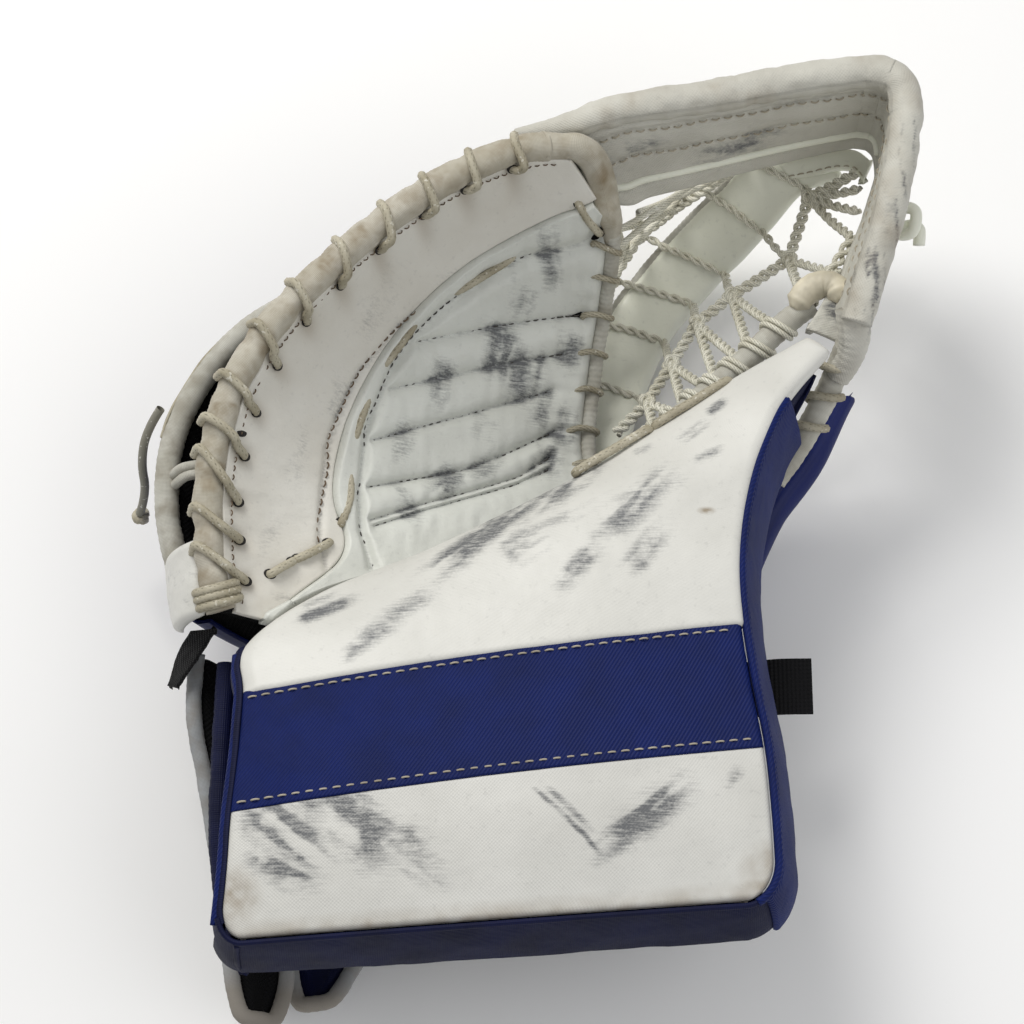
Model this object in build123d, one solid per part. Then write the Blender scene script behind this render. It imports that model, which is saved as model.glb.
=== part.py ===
from build123d import *
import math
import os

# Ice hockey goalkeeper's catch glove, lying on its back with its palm up.
#
# The glove is built in layers, as the real one is. A one-piece thumb and cuff board faces the puck. A dished
# finger shell is laced to a backhand pad, and the hand goes between them. A laced net and a T strap make the
# pocket, inside a padded rim. Everything is in millimetres, +Z up, with the floor at z = 0.
#
# Most pieces are panels: a panel is a list of rows, each row a pair of points on its two long edges.

# ---------------------------------------------------------------- driving dimensions
FOOTPRINT_CENTRE = (14.8, -12.05)  # middle of the footprint in design coordinates, moved to x = y = 0

LACE = 3.4  # diameter of the waxed lacing cord
NET_CORD = 2.6  # diameter of the net's cord
SKIN = 1.8  # thickness of a face leather
GAP = 0.9  # air between two layers
BINDING = 11.5  # diameter of the rolled edge binding
BOARD_THICKNESS = 30.0  # thumb and cuff board, skin to lining
SHELL_THICKNESS = 12.0  # finger shell, skin to lining
WALL_THICKNESS = 9.0  # padded wall of the pocket rim
RIM_ROLL = 13.0  # diameter of the roll on top of the wall
STALL_WALL = 1.5  # finger stall fabric
STALL_RADIUS = 8.0
THUMB_STALL_RADIUS = 10.0
STRAP_WIDTH = 22.0
STRAP_THICKNESS = 2.2

# ---------------------------------------------------------------- panels: (one edge, other edge) row by row
BOARD_ROWS = [  # thumb and cuff board, from the cuff's open end to the thumb's tip: (pinky side, outer side)
    ((-103, -175, 94), (93, -160, 94)),
    ((-101, -152, 98), (92, -134, 98)),
    ((-100, -130, 99), (90, -106, 99)),
    ((-98, -107, 99), (86, -82, 100)),
    ((-97, -85, 98), (83, -59, 101)),
    ((-97, -66, 94), (82, -38, 102)),
    ((-72, -45, 89), (84, -18, 102)),
    ((-30, -25, 84), (88, 0, 103)),
    ((22, 4, 81), (93, 14, 103)),
    ((55, 25, 83), (99, 27, 102)),
    ((84, 43, 88), (107, 38, 100)),
    ((110, 57, 94), (118, 50, 97)),
]
BOARD_RISE = [4, 6, 7, 7, 6, 5, 4, 4, 3, 3, 2, 1]
BOARD_TAPER = [1, 1, 1, 1, 1, 1, 1, 0.97, 0.88, 0.76, 0.64, 0.56]  # the board thins towards the thumb's tip
BAND_START, BAND_END = 2 / 11, 4 / 11  # the blue band covers these rows of the board

SHELL_ROWS = [  # finger shell, from the heel to the fingertips: (outer bound edge, inner edge by the pocket)
    ((-103, -51, 91), (-88, -52, 82)),
    ((-107, -35, 96), (-66, -36, 72)),
    ((-108, -22, 99), (-31, -18, 56)),
    ((-108, -8, 103), (2, 2, 42)),
    ((-106, 6, 107), (28, 22, 31)),
    ((-101, 24, 112), (28, 43, 29)),
    ((-88, 46, 117), (31, 70, 33)),
    ((-65, 71, 120), (35, 92, 47)),
    ((-29, 101, 122), (37, 103, 70)),
    ((2, 118, 121), (37, 108, 84)),
    ((21, 123, 116), (36, 111, 92)),
]
SHELL_RISE = [-1, -3, -6, -10, -14, -15, -15, -13, -8, -4, -2]
# share across the shell where the finger face meets the palm face
PALM_SEAM = [0.84, 0.8, 0.62, 0.42, 0.34, 0.36, 0.4, 0.48, 0.62, 0.74, 0.8]

BACKHAND_ROWS = [  # back of the hand, from the wrist to the fingertips: (pinky edge, thumb side edge)
    ((-115, -44, 68), (-2, -56, 24)),
    ((-125, -8, 77), (-6, -22, 20)),
    ((-121, 27, 84), (-2, 10, 18)),
    ((-98, 60, 89), (4, 40, 18)),
    ((-60, 86, 83), (10, 66, 19)),
    ((-14, 117, 76), (14, 86, 26)),
    ((16, 130, 70), (20, 104, 40)),
]
BACKHAND_RISE = [-26, -28, -28, -26, -22, -14, -8]

T_ROWS = [  # T strap along the bottom of the pocket, from the palm to the rim: (finger side, thumb side)
    ((24, 36, 14), (42, 33, 14)),
    ((28, 60, 12), (46, 56, 12)),
    ((40, 101, 10), (61, 95, 10)),
    ((57, 125, 14), (80, 118, 14)),
    ((72, 138, 26), (91, 125, 26)),
    ((85, 145, 42), (102, 132, 41)),
    ((96, 151, 55), (115, 142, 54)),
    ((113, 154, 57), (129, 146, 57)),
]

FINGER_WALL_ROWS = [  # middle of the rim wall on the finger side: (top edge, bottom edge)
    ((-3, 140, 98), (3, 136, 91)),
    ((20, 139.5, 108), (41, 128.5, 69)),
    ((41, 142.5, 116), (55, 134, 65)),
    ((71, 147, 117), (81, 143, 63)),
    ((106, 154, 117), (110, 151, 64)),
    ((131, 158, 117), (131, 155, 66)),
]
CORNER_ROWS = [  # middle of the rim wall round the far corner
    ((136, 158.5, 117), (136, 155.5, 66)),
    ((144, 157, 117), (142, 154, 66)),
    ((149, 151, 117), (146, 149, 66)),
    ((150, 141, 116), (147, 140, 66)),
]
THUMB_WALL_ROWS = [  # middle of the rim wall on the thumb side, from the far corner to the thumb's tip
    ((149, 135, 116), (146, 134, 66)),
    ((146, 118, 115), (141, 119, 66)),
    ((141, 97, 113), (135, 105, 67)),
    ((135, 78, 109), (130, 90, 69)),
    ((129, 59, 103), (126, 76, 73)),
]

THUMB_PAD_ROWS = [  # back of the thumb, from the wrist to the thumb's tip: (palm side, outer side)
    ((8, -46, 22), (84, -28, 42)),
    ((28, -18, 18), (98, 6, 48)),
    ((52, 6, 20), (115, 30, 54)),
    ((82, 32, 36), (128, 51, 60)),
]
THUMB_PAD_RISE = [-12, -14, -12, -6]

OUTER_FLAP_ROWS = [  # wrist wrap on the pinky side, from the backhand to its free tip: (outer, inner)
    ((-115, -56, 56), (-96, -59, 40)),
    ((-116, -78, 51), (-95, -80, 36)),
    ((-111, -104, 46), (-91, -108, 32)),
    ((-105, -138, 40), (-86, -142, 29)),
    ((-101, -168, 36), (-84, -170, 29)),
    ((-97, -187, 34), (-88, -188, 31)),
]
BACK_FLAP_ROWS = [  # wrist wrap behind the wrist, from the backhand to its free tip: (outer, inner)
    ((-88, -66, 24), (-20, -70, 14)),
    ((-90, -100, 18), (-24, -100, 13)),
    ((-84, -135, 16), (-34, -135, 13)),
    ((-78, -165, 17), (-54, -165, 15)),
    ((-74, -182, 20), (-66, -181, 20)),
]
LINER_ROWS = [  # soft pad between the wrist and the board: (pinky side, thumb side)
    ((-106, -62, 64), (6, -62, 62)),
    ((-107, -95, 63), (6, -95, 61)),
    ((-107, -130, 61), (4, -130, 59)),
    ((-102, -165, 57), (0, -162, 56)),
]
BREAK_ROWS = [  # leather under the break, where the shell folds towards the board: (shell side, board side)
    ((-86, -45, 60), (-78, -60, 60)),
    ((-58, -27, 47), (-50, -48, 50)),
    ((-30, -14, 38), (-22, -36, 44)),
    ((-2, 1, 26), (6, -20, 40)),
    ((16, 13, 15), (27, -7, 33)),
]
KEEPER_ROWS = [  # leather keeper from the shell's edge round to the backhand: (front, back)
    ((-119, -50, 86), (-128, -48, 62)),
    ((-121, -38, 88), (-132, -36, 64)),
    ((-122, -26, 90), (-135, -24, 66)),
]
STRAP_LINE = [(-16, -72, 9), (14, -71, 12), (42, -70, 28), (62, -70, 47), (73, -70, 53)]
TAIL_LINE = [(86.5, -70, 55), (98, -69, 56), (112, -68, 54)]

# ---------------------------------------------------------------- rolls, bindings and cords, point by point
THUMB_ROLL = [(54, 30, 60), (72, 44, 66), (89, 58, 70), (105, 72, 75), (115, 79, 78)]
THUMB_LACE = [(24, 6, 85.5), (38, 14.5, 86), (55, 25, 87.5), (70, 34, 89.5), (82, 41.5, 91.5)]
THUMB_BINDING = [(127, 57, 87), (124, 51, 78), (118, 40, 70), (110, 27, 63), (100, 14, 58)]
RUNG_ENDS = [  # each rung of the net: (finger side end, thumb side end), crossing the T strap at RUNG_S
    ((23, 76, 14), (53, 54.5, 40)),
    ((30, 99, 15), (63, 72, 38)),
    ((40, 119, 16), (73.5, 90, 38)),
    ((52, 136, 24), (87.5, 101, 40)),
    ((72, 149, 42), (110, 114, 46)),
    ((89, 154, 57), (118, 136.5, 56)),
]
RUNG_S = [0.19, 0.28, 0.37, 0.5, 0.7, 0.87]
# shares along the shell of the lace loops round its edge, and of the stretches where the palm lace shows
LOOP_S = [0.07, 0.15, 0.23, 0.31, 0.4, 0.48, 0.56, 0.63, 0.7, 0.77, 0.84, 0.91]
STITCH_S = [(0.33, 0.38), (0.41, 0.46), (0.5, 0.56), (0.62, 0.68), (0.74, 0.79), (0.85, 0.9)]
THUMB_LOOP_S = [0.12, 0.42]
STALLS = [  # finger stalls: (open end, tip)
    ((-92, -6, 51), (-85, 22, 58)),
    ((-72, -4, 37), (-66, 38, 45)),
    ((-51, -4, 27.5), (-46, 34, 29.5)),
    ((-31, -6, 24), (-26, 34, 25.5)),
]
THUMB_STALL = [(20, -38, 54), (56, -12, 56), (88, 14, 59)]
# loose end of the lace, from the backhand's edge to the knot
TAIL_ROUTE = [(-132, 31, 87), (-138, 25, 80), (-141, 17, 67), (-140, 11, 53), (-144, 8, 39)]
ARC_SHARE = 0.45  # a cord's arc radius, as a share of its shorter run over the tangent of half its turn

KNUCKLE_PLATE = (64.0, 56.0, 3.2)  # flat moulded guard under the backhand
KNUCKLE_CENTRE = (-52.0, 8.0)
LOOP_SIZE = (9.0, 30.0, 13.0)  # strap loop under the cuff
LOOP_CENTRE = (80.0, -70.0, 55.0)


# ---------------------------------------------------------------- geometry helpers
def smooth(values, s):
    """The value at share s of a list of points or numbers, on a curve through all of them."""
    last = len(values) - 1
    place = min(max(s, 0.0), 1.0) * last
    i = min(int(place), last - 1)
    u = place - i
    p1, p2 = values[i], values[i + 1]
    p0 = values[i - 1] if i > 0 else p1 * 2 - p2
    p3 = values[i + 2] if i + 2 <= last else p2 * 2 - p1
    return (
        p1 * 2 + (p2 - p0) * u + (p0 * 2 - p1 * 5 + p2 * 4 - p3) * u**2 + (p1 * 3 - p0 - p2 * 3 + p3) * u**3
    ) * 0.5


def direction(points, s):
    """Unit tangent of the curve through points, at share s."""
    step = 0.01
    return (smooth(points, min(s + step, 1)) - smooth(points, max(s - step, 0))).normalized()


class Panel:
    """A curved panel: its two edges are curves through the rows' points, and each row bows by its rise."""

    def __init__(self, rows, rise=0.0, facing=(0, 0, 1), taper=1.0):
        self.first = [Vector(*row[0]) for row in rows]
        self.second = [Vector(*row[1]) for row in rows]
        self.rise = rise if isinstance(rise, list) else [rise] * len(rows)
        self.taper = taper if isinstance(taper, list) else [taper] * len(rows)
        self.facing = Vector(*facing)

    def row(self, s):
        """Both edge points at share s, the direction that the panel faces there, and the row's rise."""
        a, b = smooth(self.first, s), smooth(self.second, s)
        along = direction(self.first, s) + direction(self.second, s)
        out = (b - a).cross(along).normalized()
        if out.dot(self.facing) < 0:
            out = out * -1
        return a, b, out, smooth(self.rise, s)

    def point(self, s, t, depth=0.0):
        """The point at share s along, share t across, and depth above the face."""
        a, b, out, rise = self.row(s)
        span = b - a
        slope = rise * 4 * (1 - 2 * t) / span.length
        normal = (out - span.normalized() * slope).normalized()
        return a + span * t + out * (rise * 4 * t * (1 - t)) + normal * (depth * smooth(self.taper, s))

    def share(self, s, distance):
        """The share across that lies this far from the first edge."""
        a, b, _, _ = self.row(s)
        return distance / (b - a).length


def slab(panel, near, far, start=0.0, end=1.0, first=0.0, second=1.0, trim=(0.0, 0.0), sections=9, columns=6):
    """A layer of a panel between two depths; first and second are shares across, or lists of them."""
    wires = []
    for k in range(sections):
        s = start + (end - start) * k / (sections - 1)
        t0 = smooth(first, s) if isinstance(first, list) else first
        t1 = smooth(second, s) if isinstance(second, list) else second
        t0, t1 = t0 + panel.share(s, trim[0]), t1 - panel.share(s, trim[1])
        shares = [t0 + (t1 - t0) * i / (columns - 1) for i in range(columns)]
        top = [panel.point(s, t, near) for t in shares]
        bottom = [panel.point(s, t, far) for t in reversed(shares)]
        edges = [
            Edge.make_spline(top),
            Edge.make_line(top[-1], bottom[0]),
            Edge.make_spline(bottom),
            Edge.make_line(bottom[-1], top[0]),
        ]
        wires.append(Wire(edges))
    return Solid.make_loft(wires)


def tube(points, radius, sections=9, start=0.0, end=1.0):
    """A round bar along the curve through points."""
    line = [Vector(*p) for p in points]
    x_dir = direction(line, start).cross(Vector(0.5, 0.3, 0.8))
    wires = []
    for k in range(sections):
        s = start + (end - start) * k / (sections - 1)
        z_dir = direction(line, s)
        x_dir = (x_dir - z_dir * x_dir.dot(z_dir)).normalized()
        wires.append(Wire.make_circle(radius, Plane(smooth(line, s), x_dir=x_dir, z_dir=z_dir)))
    return Solid.make_loft(wires)


def cord_path(points):
    """Straight runs joined by tangent arcs, each as large as the two runs beside it allow."""
    points = [Vector(*p) for p in points]
    radii = []
    for before, here, after in zip(points, points[1:], points[2:]):
        turn = math.radians((here - before).get_angle(after - here))
        shorter = min((here - before).length, (after - here).length)
        radii.append(ARC_SHARE * shorter / math.tan(turn / 2))
    return FilletPolyline(*points, radius=radii), radii


def cord(points, diameter):
    """A round cord along straight runs and arcs."""
    path, _ = cord_path(points)
    return sweep(Plane(origin=path @ 0, z_dir=path % 0) * Circle(diameter / 2), path=path)


def sleeve(points, radius, wall):
    """A stall: a tube closed at its tip and open at its start."""
    line = [Vector(*p) for p in points]
    back = line[0] - (line[1] - line[0]).normalized() * 2
    tip = line[-1] - (line[-1] - line[-2]).normalized() * 3
    inner = tube([back, *line[1:-1], tip], radius - wall)
    return tube(line, radius) - inner


def loop(centre, along, outward, major, minor, turn=200.0):
    """Part of a ring round an edge, open on the inner side."""
    side = along.cross(outward).normalized()
    outward = side.cross(along).normalized()
    half = math.radians(turn / 2)
    x_dir = outward * math.cos(half) - side * math.sin(half)
    plane = Plane(centre, x_dir=x_dir, z_dir=along)
    return Solid.make_torus(major, minor, plane, major_angle=turn)


def edge_line(panel, side, outset, depth, count=12, start=0.0, end=1.0):
    """Points that run beside one edge of a panel, outset from it and at a depth."""
    found = []
    for k in range(count):
        s = start + (end - start) * k / (count - 1)
        share = panel.share(s, outset)
        found.append(panel.point(s, -share if side == 0 else 1 + share, depth))
    return found


# ---------------------------------------------------------------- thumb and cuff board
board = Panel(BOARD_ROWS, BOARD_RISE, taper=BOARD_TAPER)


def cuff_board():
    """The board's faces and its layers, from the leather in front to the nylon behind."""
    core = SKIN + GAP
    nodes = {
        "cuff_face_lower": slab(board, 0, -SKIN, 0, BAND_START - 0.003, sections=3),
        "cuff_band": slab(board, 0.4, -SKIN, BAND_START + 0.003, BAND_END - 0.003, sections=3),
        "cuff_face_upper": slab(board, 0, -SKIN, BAND_END + 0.003, 1, sections=8),
        "cuff_foam": slab(board, -core - 0.4, -BOARD_THICKNESS + core, sections=12),
        "cuff_lining": slab(board, -BOARD_THICKNESS + SKIN, -BOARD_THICKNESS, 0, 0.97, sections=12, columns=5),
    }
    return nodes


def cuff_gussets():
    """Strips that close the board's outer side and its open end, and the welt on the pinky side."""
    side_rows = []
    for k in range(10):
        x, y, z = board.point(0.01 + 0.09 * k, 1)
        nx, ny = outward_of_side(0.01 + 0.09 * k)
        side_rows.append(((x + 5.4 * nx, y + 5.4 * ny, z - 1), (x + 10 * nx, y + 10 * ny, 70)))
    end_rows = []
    for k in range(7):
        share = k / 6
        x, y, z = board.point(0, share)
        widen = -4 if k == 0 else 6 * share**4
        end_rows.append(((x + widen * 0.4, y - 3.4, z - 1), (x + widen, y - 7.5, 69)))
    welt = edge_line(board, 0, 5.6, -2.5, start=0.06, end=0.44)
    return {
        "cuff_gusset_side": slab(Panel(side_rows, 0, (1, 0, 0.2)), 0, -2, sections=10, columns=4),
        "cuff_gusset_end": slab(Panel(end_rows, 0, (0, -1, 0.2)), 0, -2, sections=9, columns=4),
        "cuff_welt": tube(welt, 2, sections=10),
    }


def outward_of_side(s):
    """Unit vector in plan that points away from the board on its outer side."""
    along = direction(board.second, s)
    length = math.hypot(along.X, along.Y)
    return along.Y / length, -along.X / length


def thumb():
    """Back of the thumb, its stall, and the binding, laces and roll along the thumb."""
    pad = Panel(THUMB_PAD_ROWS, THUMB_PAD_RISE)
    binding = [Vector(*p) for p in THUMB_BINDING]
    away = Vector(1, 0.2, 0.3)
    loops = [
        loop(smooth(binding, s), direction(binding, s), away, 6.9, LACE / 2) for s in THUMB_LOOP_S
    ]
    return {
        "thumb_pad": slab(pad, 0, -11, sections=8),
        "thumb_stall": sleeve(THUMB_STALL, THUMB_STALL_RADIUS, STALL_WALL),
        "thumb_binding": tube(THUMB_BINDING, 4.8),
        "thumb_lacing": Compound(children=loops),
        "thumb_edge_roll": tube(THUMB_ROLL, 4.6),
        "thumb_edge_lace": tube(THUMB_LACE, LACE / 2),
    }


# ---------------------------------------------------------------- pocket rim, T strap and net
def rim_part(rows, facing, name):
    """A length of padded wall and the roll along its top."""
    wall = Panel(rows, 0, facing)
    roll = [wall.point(k / 8, 0) for k in range(9)]
    half = WALL_THICKNESS / 2
    trim = RIM_ROLL / 2 + GAP
    return {
        f"rim_{name}_wall": slab(wall, half, -half, trim=(trim, 0), sections=7, columns=4),
        f"rim_{name}_roll": tube(roll, RIM_ROLL / 2),
    }


def t_strap():
    """The strap along the bottom of the pocket, and its bound edge."""
    strap = Panel(T_ROWS)
    return {
        "t_strap": slab(strap, 0, -3, sections=11, columns=4),
        "t_strap_binding": tube(edge_line(strap, 0, 3.1, -1.5, count=16, end=0.93), 2.1, sections=16),
    }


def rung_points(index):
    """A rung of the net: from the finger side, over the T strap, to the thumb side."""
    strap = Panel(T_ROWS)
    over = NET_CORD / 2 + 0.5
    left, right = (Vector(*p) for p in RUNG_ENDS[index])
    s = RUNG_S[index]
    middle = [strap.point(s, -0.24, over + 2.5), strap.point(s, 0.35, over), strap.point(s, 1.06, over)]
    slack = (middle[2] + right) * 0.5 - Vector(0, 0, 2)
    return [left, *middle, slack, right]


def net():
    """Rungs across the T strap, and a column on each side that ties them together from below."""
    rungs = [rung_points(i) for i in range(len(RUNG_ENDS))]
    below = Vector(0, 0, NET_CORD + 3.2)
    thumb_column = [(points[4] + points[5]) * 0.5 - below for points in rungs]
    finger_column = [points[0] * 0.66 + points[1] * 0.34 - below for points in rungs[1:-1]]
    return {
        "net_rungs": Compound(children=[cord(p, NET_CORD) for p in rungs]),
        "net_columns": Compound(children=[cord(c, NET_CORD) for c in (thumb_column, finger_column)]),
    }


# ---------------------------------------------------------------- finger shell and backhand
shell = Panel(SHELL_ROWS, SHELL_RISE)


def finger_shell():
    """The shell's faces and layers, with its binding, laces and palm stitches."""
    inset = BINDING / 2 + 1.5
    core = SKIN + GAP
    binding = edge_line(shell, 0, 0, -SHELL_THICKNESS / 2 + 1)
    loops = []
    for s in LOOP_S:
        outward = shell.point(s, 0) - shell.point(s, 0.05)
        centre = smooth(binding, s)
        loops.append(loop(centre, direction(binding, s), outward, BINDING / 2 + LACE / 2 + GAP, LACE / 2))
    border = [share + 0.05 for share in PALM_SEAM]
    stitches = []
    for s0, s1 in STITCH_S:
        stitch = []
        for k in range(5):
            s = s0 + (s1 - s0) * k / 4
            stitch.append(shell.point(s, smooth(border, s), LACE / 2 + 0.2))
        stitches.append(tube(stitch, LACE / 2, sections=5))
    edge = [shell.point(s, 1 + shell.share(s, 3.8), -4) for s in (0.42, 0.5, 0.6, 0.7, 0.8, 0.88)]
    return {
        "finger_face": slab(shell, 0, -SKIN, second=PALM_SEAM, trim=(inset, 0.6), sections=11),
        "palm_face": slab(shell, 0, -SKIN, 0, 0.95, first=PALM_SEAM, trim=(0.6, 0), sections=11),
        "finger_foam": slab(
            shell, -core, -SHELL_THICKNESS + core, trim=(inset + 0.5, 0), sections=11
        ),
        "palm_lining": slab(shell, -SHELL_THICKNESS + SKIN, -SHELL_THICKNESS, trim=(inset, 0), sections=11),
        "finger_binding": tube(binding, BINDING / 2, sections=15),
        "finger_lacing": Compound(children=loops),
        "palm_lacing": Compound(children=stitches),
        "palm_edge_binding": tube(edge, 2.6),
    }


def backhand():
    """The pad behind the hand, its blue cover, its bound edge, the keeper and the knuckle plate."""
    pad = Panel(BACKHAND_ROWS, BACKHAND_RISE)
    inset = BINDING / 2 + GAP
    plate = Pos(*KNUCKLE_CENTRE, KNUCKLE_PLATE[2] / 2) * Box(*KNUCKLE_PLATE)
    plate = chamfer(plate.edges().filter_by(Axis.Z), 8)
    keeper = Panel(KEEPER_ROWS, 2.5, (-1, 0, 0))
    return {
        "backhand_pad": slab(pad, 0, -7.4, trim=(inset, 0), sections=9, columns=8),
        "backhand_cover": slab(pad, -8.2, -9.9, trim=(inset, 0), sections=9, columns=8),
        "backhand_binding": tube(edge_line(pad, 0, 0, -4.5), 5, sections=13),
        "knuckle_plate": plate,
        "side_keeper": slab(keeper, 0, -2.4, sections=5, columns=5),
    }


def stalls():
    """Four finger stalls, each an open sleeve."""
    return {"finger_stalls": Compound(children=[sleeve(p, STALL_RADIUS, STALL_WALL) for p in STALLS])}


# ---------------------------------------------------------------- wrist
def strip(line, width, thickness):
    """A flat strap that follows a line, its width along Y."""
    half = Vector(0, width / 2, 0)
    rows = [(tuple(Vector(*p) - half), tuple(Vector(*p) + half)) for p in line]
    return slab(Panel(rows), thickness / 2, -thickness / 2, sections=9, columns=3)


def wrist():
    """Wrist wrap flaps, the liner, the strap with its loop and free tail, and the hook tab."""
    outer = Panel(OUTER_FLAP_ROWS, -3)
    back = Panel(BACK_FLAP_ROWS, -3)
    liner = Panel(LINER_ROWS)
    ring = Pos(*LOOP_CENTRE) * (Box(*LOOP_SIZE) - Box(20, 24.5, 4.6))
    tab = [
        ((-110, -52, 74), (-120, -50, 66)),
        ((-116, -60, 68), (-125, -57, 61)),
        ((-125, -70, 58), (-129, -68, 55)),
    ]
    return {
        "wrist_flap_outer": slab(outer, 0, -7, trim=(3.4, 3.4), sections=9),
        "wrist_flap_back": slab(back, 0, -7, trim=(3.4, 3.4), sections=9),
        "flap_bindings": Compound(
            children=[
                tube(edge_line(panel, side, 0, -3.5), 3, sections=10)
                for panel in (outer, back)
                for side in (0, 1)
            ]
        ),
        "wrist_liner": slab(liner, 0, -5, trim=(4.5, 0), sections=7),
        "liner_binding": tube(edge_line(liner, 0, 0, -2.5), 4, sections=9),
        "wrist_strap": strip(STRAP_LINE, STRAP_WIDTH, STRAP_THICKNESS),
        "strap_loop": ring,
        "wrist_strap_tail": strip(TAIL_LINE, STRAP_WIDTH, STRAP_THICKNESS),
        "hook_tab": slab(Panel(tab, 0, (-1, 0, 1)), 0, -2.2, sections=5, columns=3),
    }


def break_leather():
    """Thin leather that spans the fold between the shell and the board, from below."""
    return {"break_leather": slab(Panel(BREAK_ROWS), 0, -2, sections=9, columns=4)}


def lace_tail():
    """The loose end of the lace: straight runs joined by arcs, and the knot on its end."""
    path, radii = cord_path(TAIL_ROUTE)
    tail = cord(TAIL_ROUTE, LACE)
    share = tail.volume / (path.length * math.pi * LACE**2 / 4)
    print("lace tail radii", [round(r, 1) for r in radii])
    print("lace tail length", round(path.length, 1), "volume over section times length", round(share, 4))
    knot = Pos(*(Vector(*TAIL_ROUTE[-1]) - Vector(0, 0, 3.5))) * Sphere(3.4)
    return {"lace_tail": tail, "lace_tail_knot": knot}


def rim_knot():
    """The knotted leather end outside the rim."""
    body = tube([(154, 108, 84), (158, 112, 88), (161, 108, 86), (158, 103, 81)], 3.6, sections=7)
    return {"rim_knot": body}


# ---------------------------------------------------------------- the whole glove
nodes = {
    **cuff_board(),
    **cuff_gussets(),
    **thumb(),
    **rim_part(THUMB_WALL_ROWS, (-1, 0, 0), "thumb"),
    **rim_knot(),
    **rim_part(CORNER_ROWS, (-1, -1, 0), "corner"),
    **rim_part(FINGER_WALL_ROWS, (0, -1, 0), "finger"),
    **t_strap(),
    **net(),
    **break_leather(),
    **finger_shell(),
    **backhand(),
    **stalls(),
    **wrist(),
    **lace_tail(),
}

os.makedirs("parts", exist_ok=True)
shift = Pos(-FOOTPRINT_CENTRE[0], -FOOTPRINT_CENTRE[1], 0)
corners = [node.bounding_box() for name, node in nodes.items() if not name.startswith("lace_tail")]
low_x, high_x = min(c.min.X for c in corners), max(c.max.X for c in corners)
low_y, high_y = min(c.min.Y for c in corners), max(c.max.Y for c in corners)
low_z = min(c.min.Z for c in corners)
print("footprint centre", round((low_x + high_x) / 2, 2), round((low_y + high_y) / 2, 2))
print("lowest", round(low_z, 2))
for name, node in nodes.items():
    export_step(shift * node, f"parts/{name}.step")
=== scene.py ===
import math
import random

import bmesh
import bpy
import numpy as np
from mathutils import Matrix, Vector


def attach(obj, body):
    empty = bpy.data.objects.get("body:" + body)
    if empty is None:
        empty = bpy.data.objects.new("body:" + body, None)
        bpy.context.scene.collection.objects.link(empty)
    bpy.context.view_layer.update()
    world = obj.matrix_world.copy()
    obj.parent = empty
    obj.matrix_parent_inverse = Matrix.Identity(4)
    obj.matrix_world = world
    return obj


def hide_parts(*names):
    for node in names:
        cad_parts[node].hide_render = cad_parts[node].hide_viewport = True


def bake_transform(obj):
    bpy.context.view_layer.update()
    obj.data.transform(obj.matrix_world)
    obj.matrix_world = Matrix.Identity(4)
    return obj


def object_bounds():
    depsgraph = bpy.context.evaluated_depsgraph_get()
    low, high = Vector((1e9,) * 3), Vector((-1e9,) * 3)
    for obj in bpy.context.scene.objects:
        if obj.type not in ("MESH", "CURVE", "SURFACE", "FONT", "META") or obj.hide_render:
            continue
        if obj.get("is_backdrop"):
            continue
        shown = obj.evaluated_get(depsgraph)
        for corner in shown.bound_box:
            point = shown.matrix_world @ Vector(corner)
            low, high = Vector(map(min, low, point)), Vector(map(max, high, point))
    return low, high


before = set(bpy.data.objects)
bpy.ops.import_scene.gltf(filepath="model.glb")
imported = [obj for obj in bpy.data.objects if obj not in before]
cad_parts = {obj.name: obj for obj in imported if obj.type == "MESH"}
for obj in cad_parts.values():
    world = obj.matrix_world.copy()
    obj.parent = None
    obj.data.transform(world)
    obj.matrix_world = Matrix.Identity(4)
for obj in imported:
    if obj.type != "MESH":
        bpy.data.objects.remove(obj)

random.seed(7)
CENTRE = np.array([14.8, -12.05, 0.0])  # design coordinates, in mm, of the frame's origin
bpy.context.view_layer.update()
LACE = 3.4  # diameter of the lace
BINDING = 11.5  # diameter of the bound edge of the finger shell

# ---------------------------------------------------------------- the glove's panels, as in the CAD model, in mm
BOARD = [
    ((-103, -175, 94), (93, -160, 94)),
    ((-101, -152, 98), (92, -134, 98)),
    ((-100, -130, 99), (90, -106, 99)),
    ((-98, -107, 99), (86, -82, 100)),
    ((-97, -85, 98), (83, -59, 101)),
    ((-97, -66, 94), (82, -38, 102)),
    ((-72, -45, 89), (84, -18, 102)),
    ((-30, -25, 84), (88, 0, 103)),
    ((22, 4, 81), (93, 14, 103)),
    ((55, 25, 83), (99, 27, 102)),
    ((84, 43, 88), (107, 38, 100)),
    ((110, 57, 94), (118, 50, 97)),
]
BOARD_RISE = [4, 6, 7, 7, 6, 5, 4, 4, 3, 3, 2, 1]
BOARD_TAPER = [1, 1, 1, 1, 1, 1, 1, 0.97, 0.88, 0.76, 0.64, 0.56]
SHELL = [
    ((-103, -51, 91), (-88, -52, 82)),
    ((-107, -35, 96), (-66, -36, 72)),
    ((-108, -22, 99), (-31, -18, 56)),
    ((-108, -8, 103), (2, 2, 42)),
    ((-106, 6, 107), (28, 22, 31)),
    ((-101, 24, 112), (28, 43, 29)),
    ((-88, 46, 117), (31, 70, 33)),
    ((-65, 71, 120), (35, 92, 47)),
    ((-29, 101, 122), (37, 103, 70)),
    ((2, 118, 121), (37, 108, 84)),
    ((21, 123, 116), (36, 111, 92)),
]
SHELL_RISE = [-1, -3, -6, -10, -14, -15, -15, -13, -8, -4, -2]
PALM_SEAM = [0.84, 0.8, 0.62, 0.42, 0.34, 0.36, 0.4, 0.48, 0.62, 0.74, 0.8]
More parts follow.
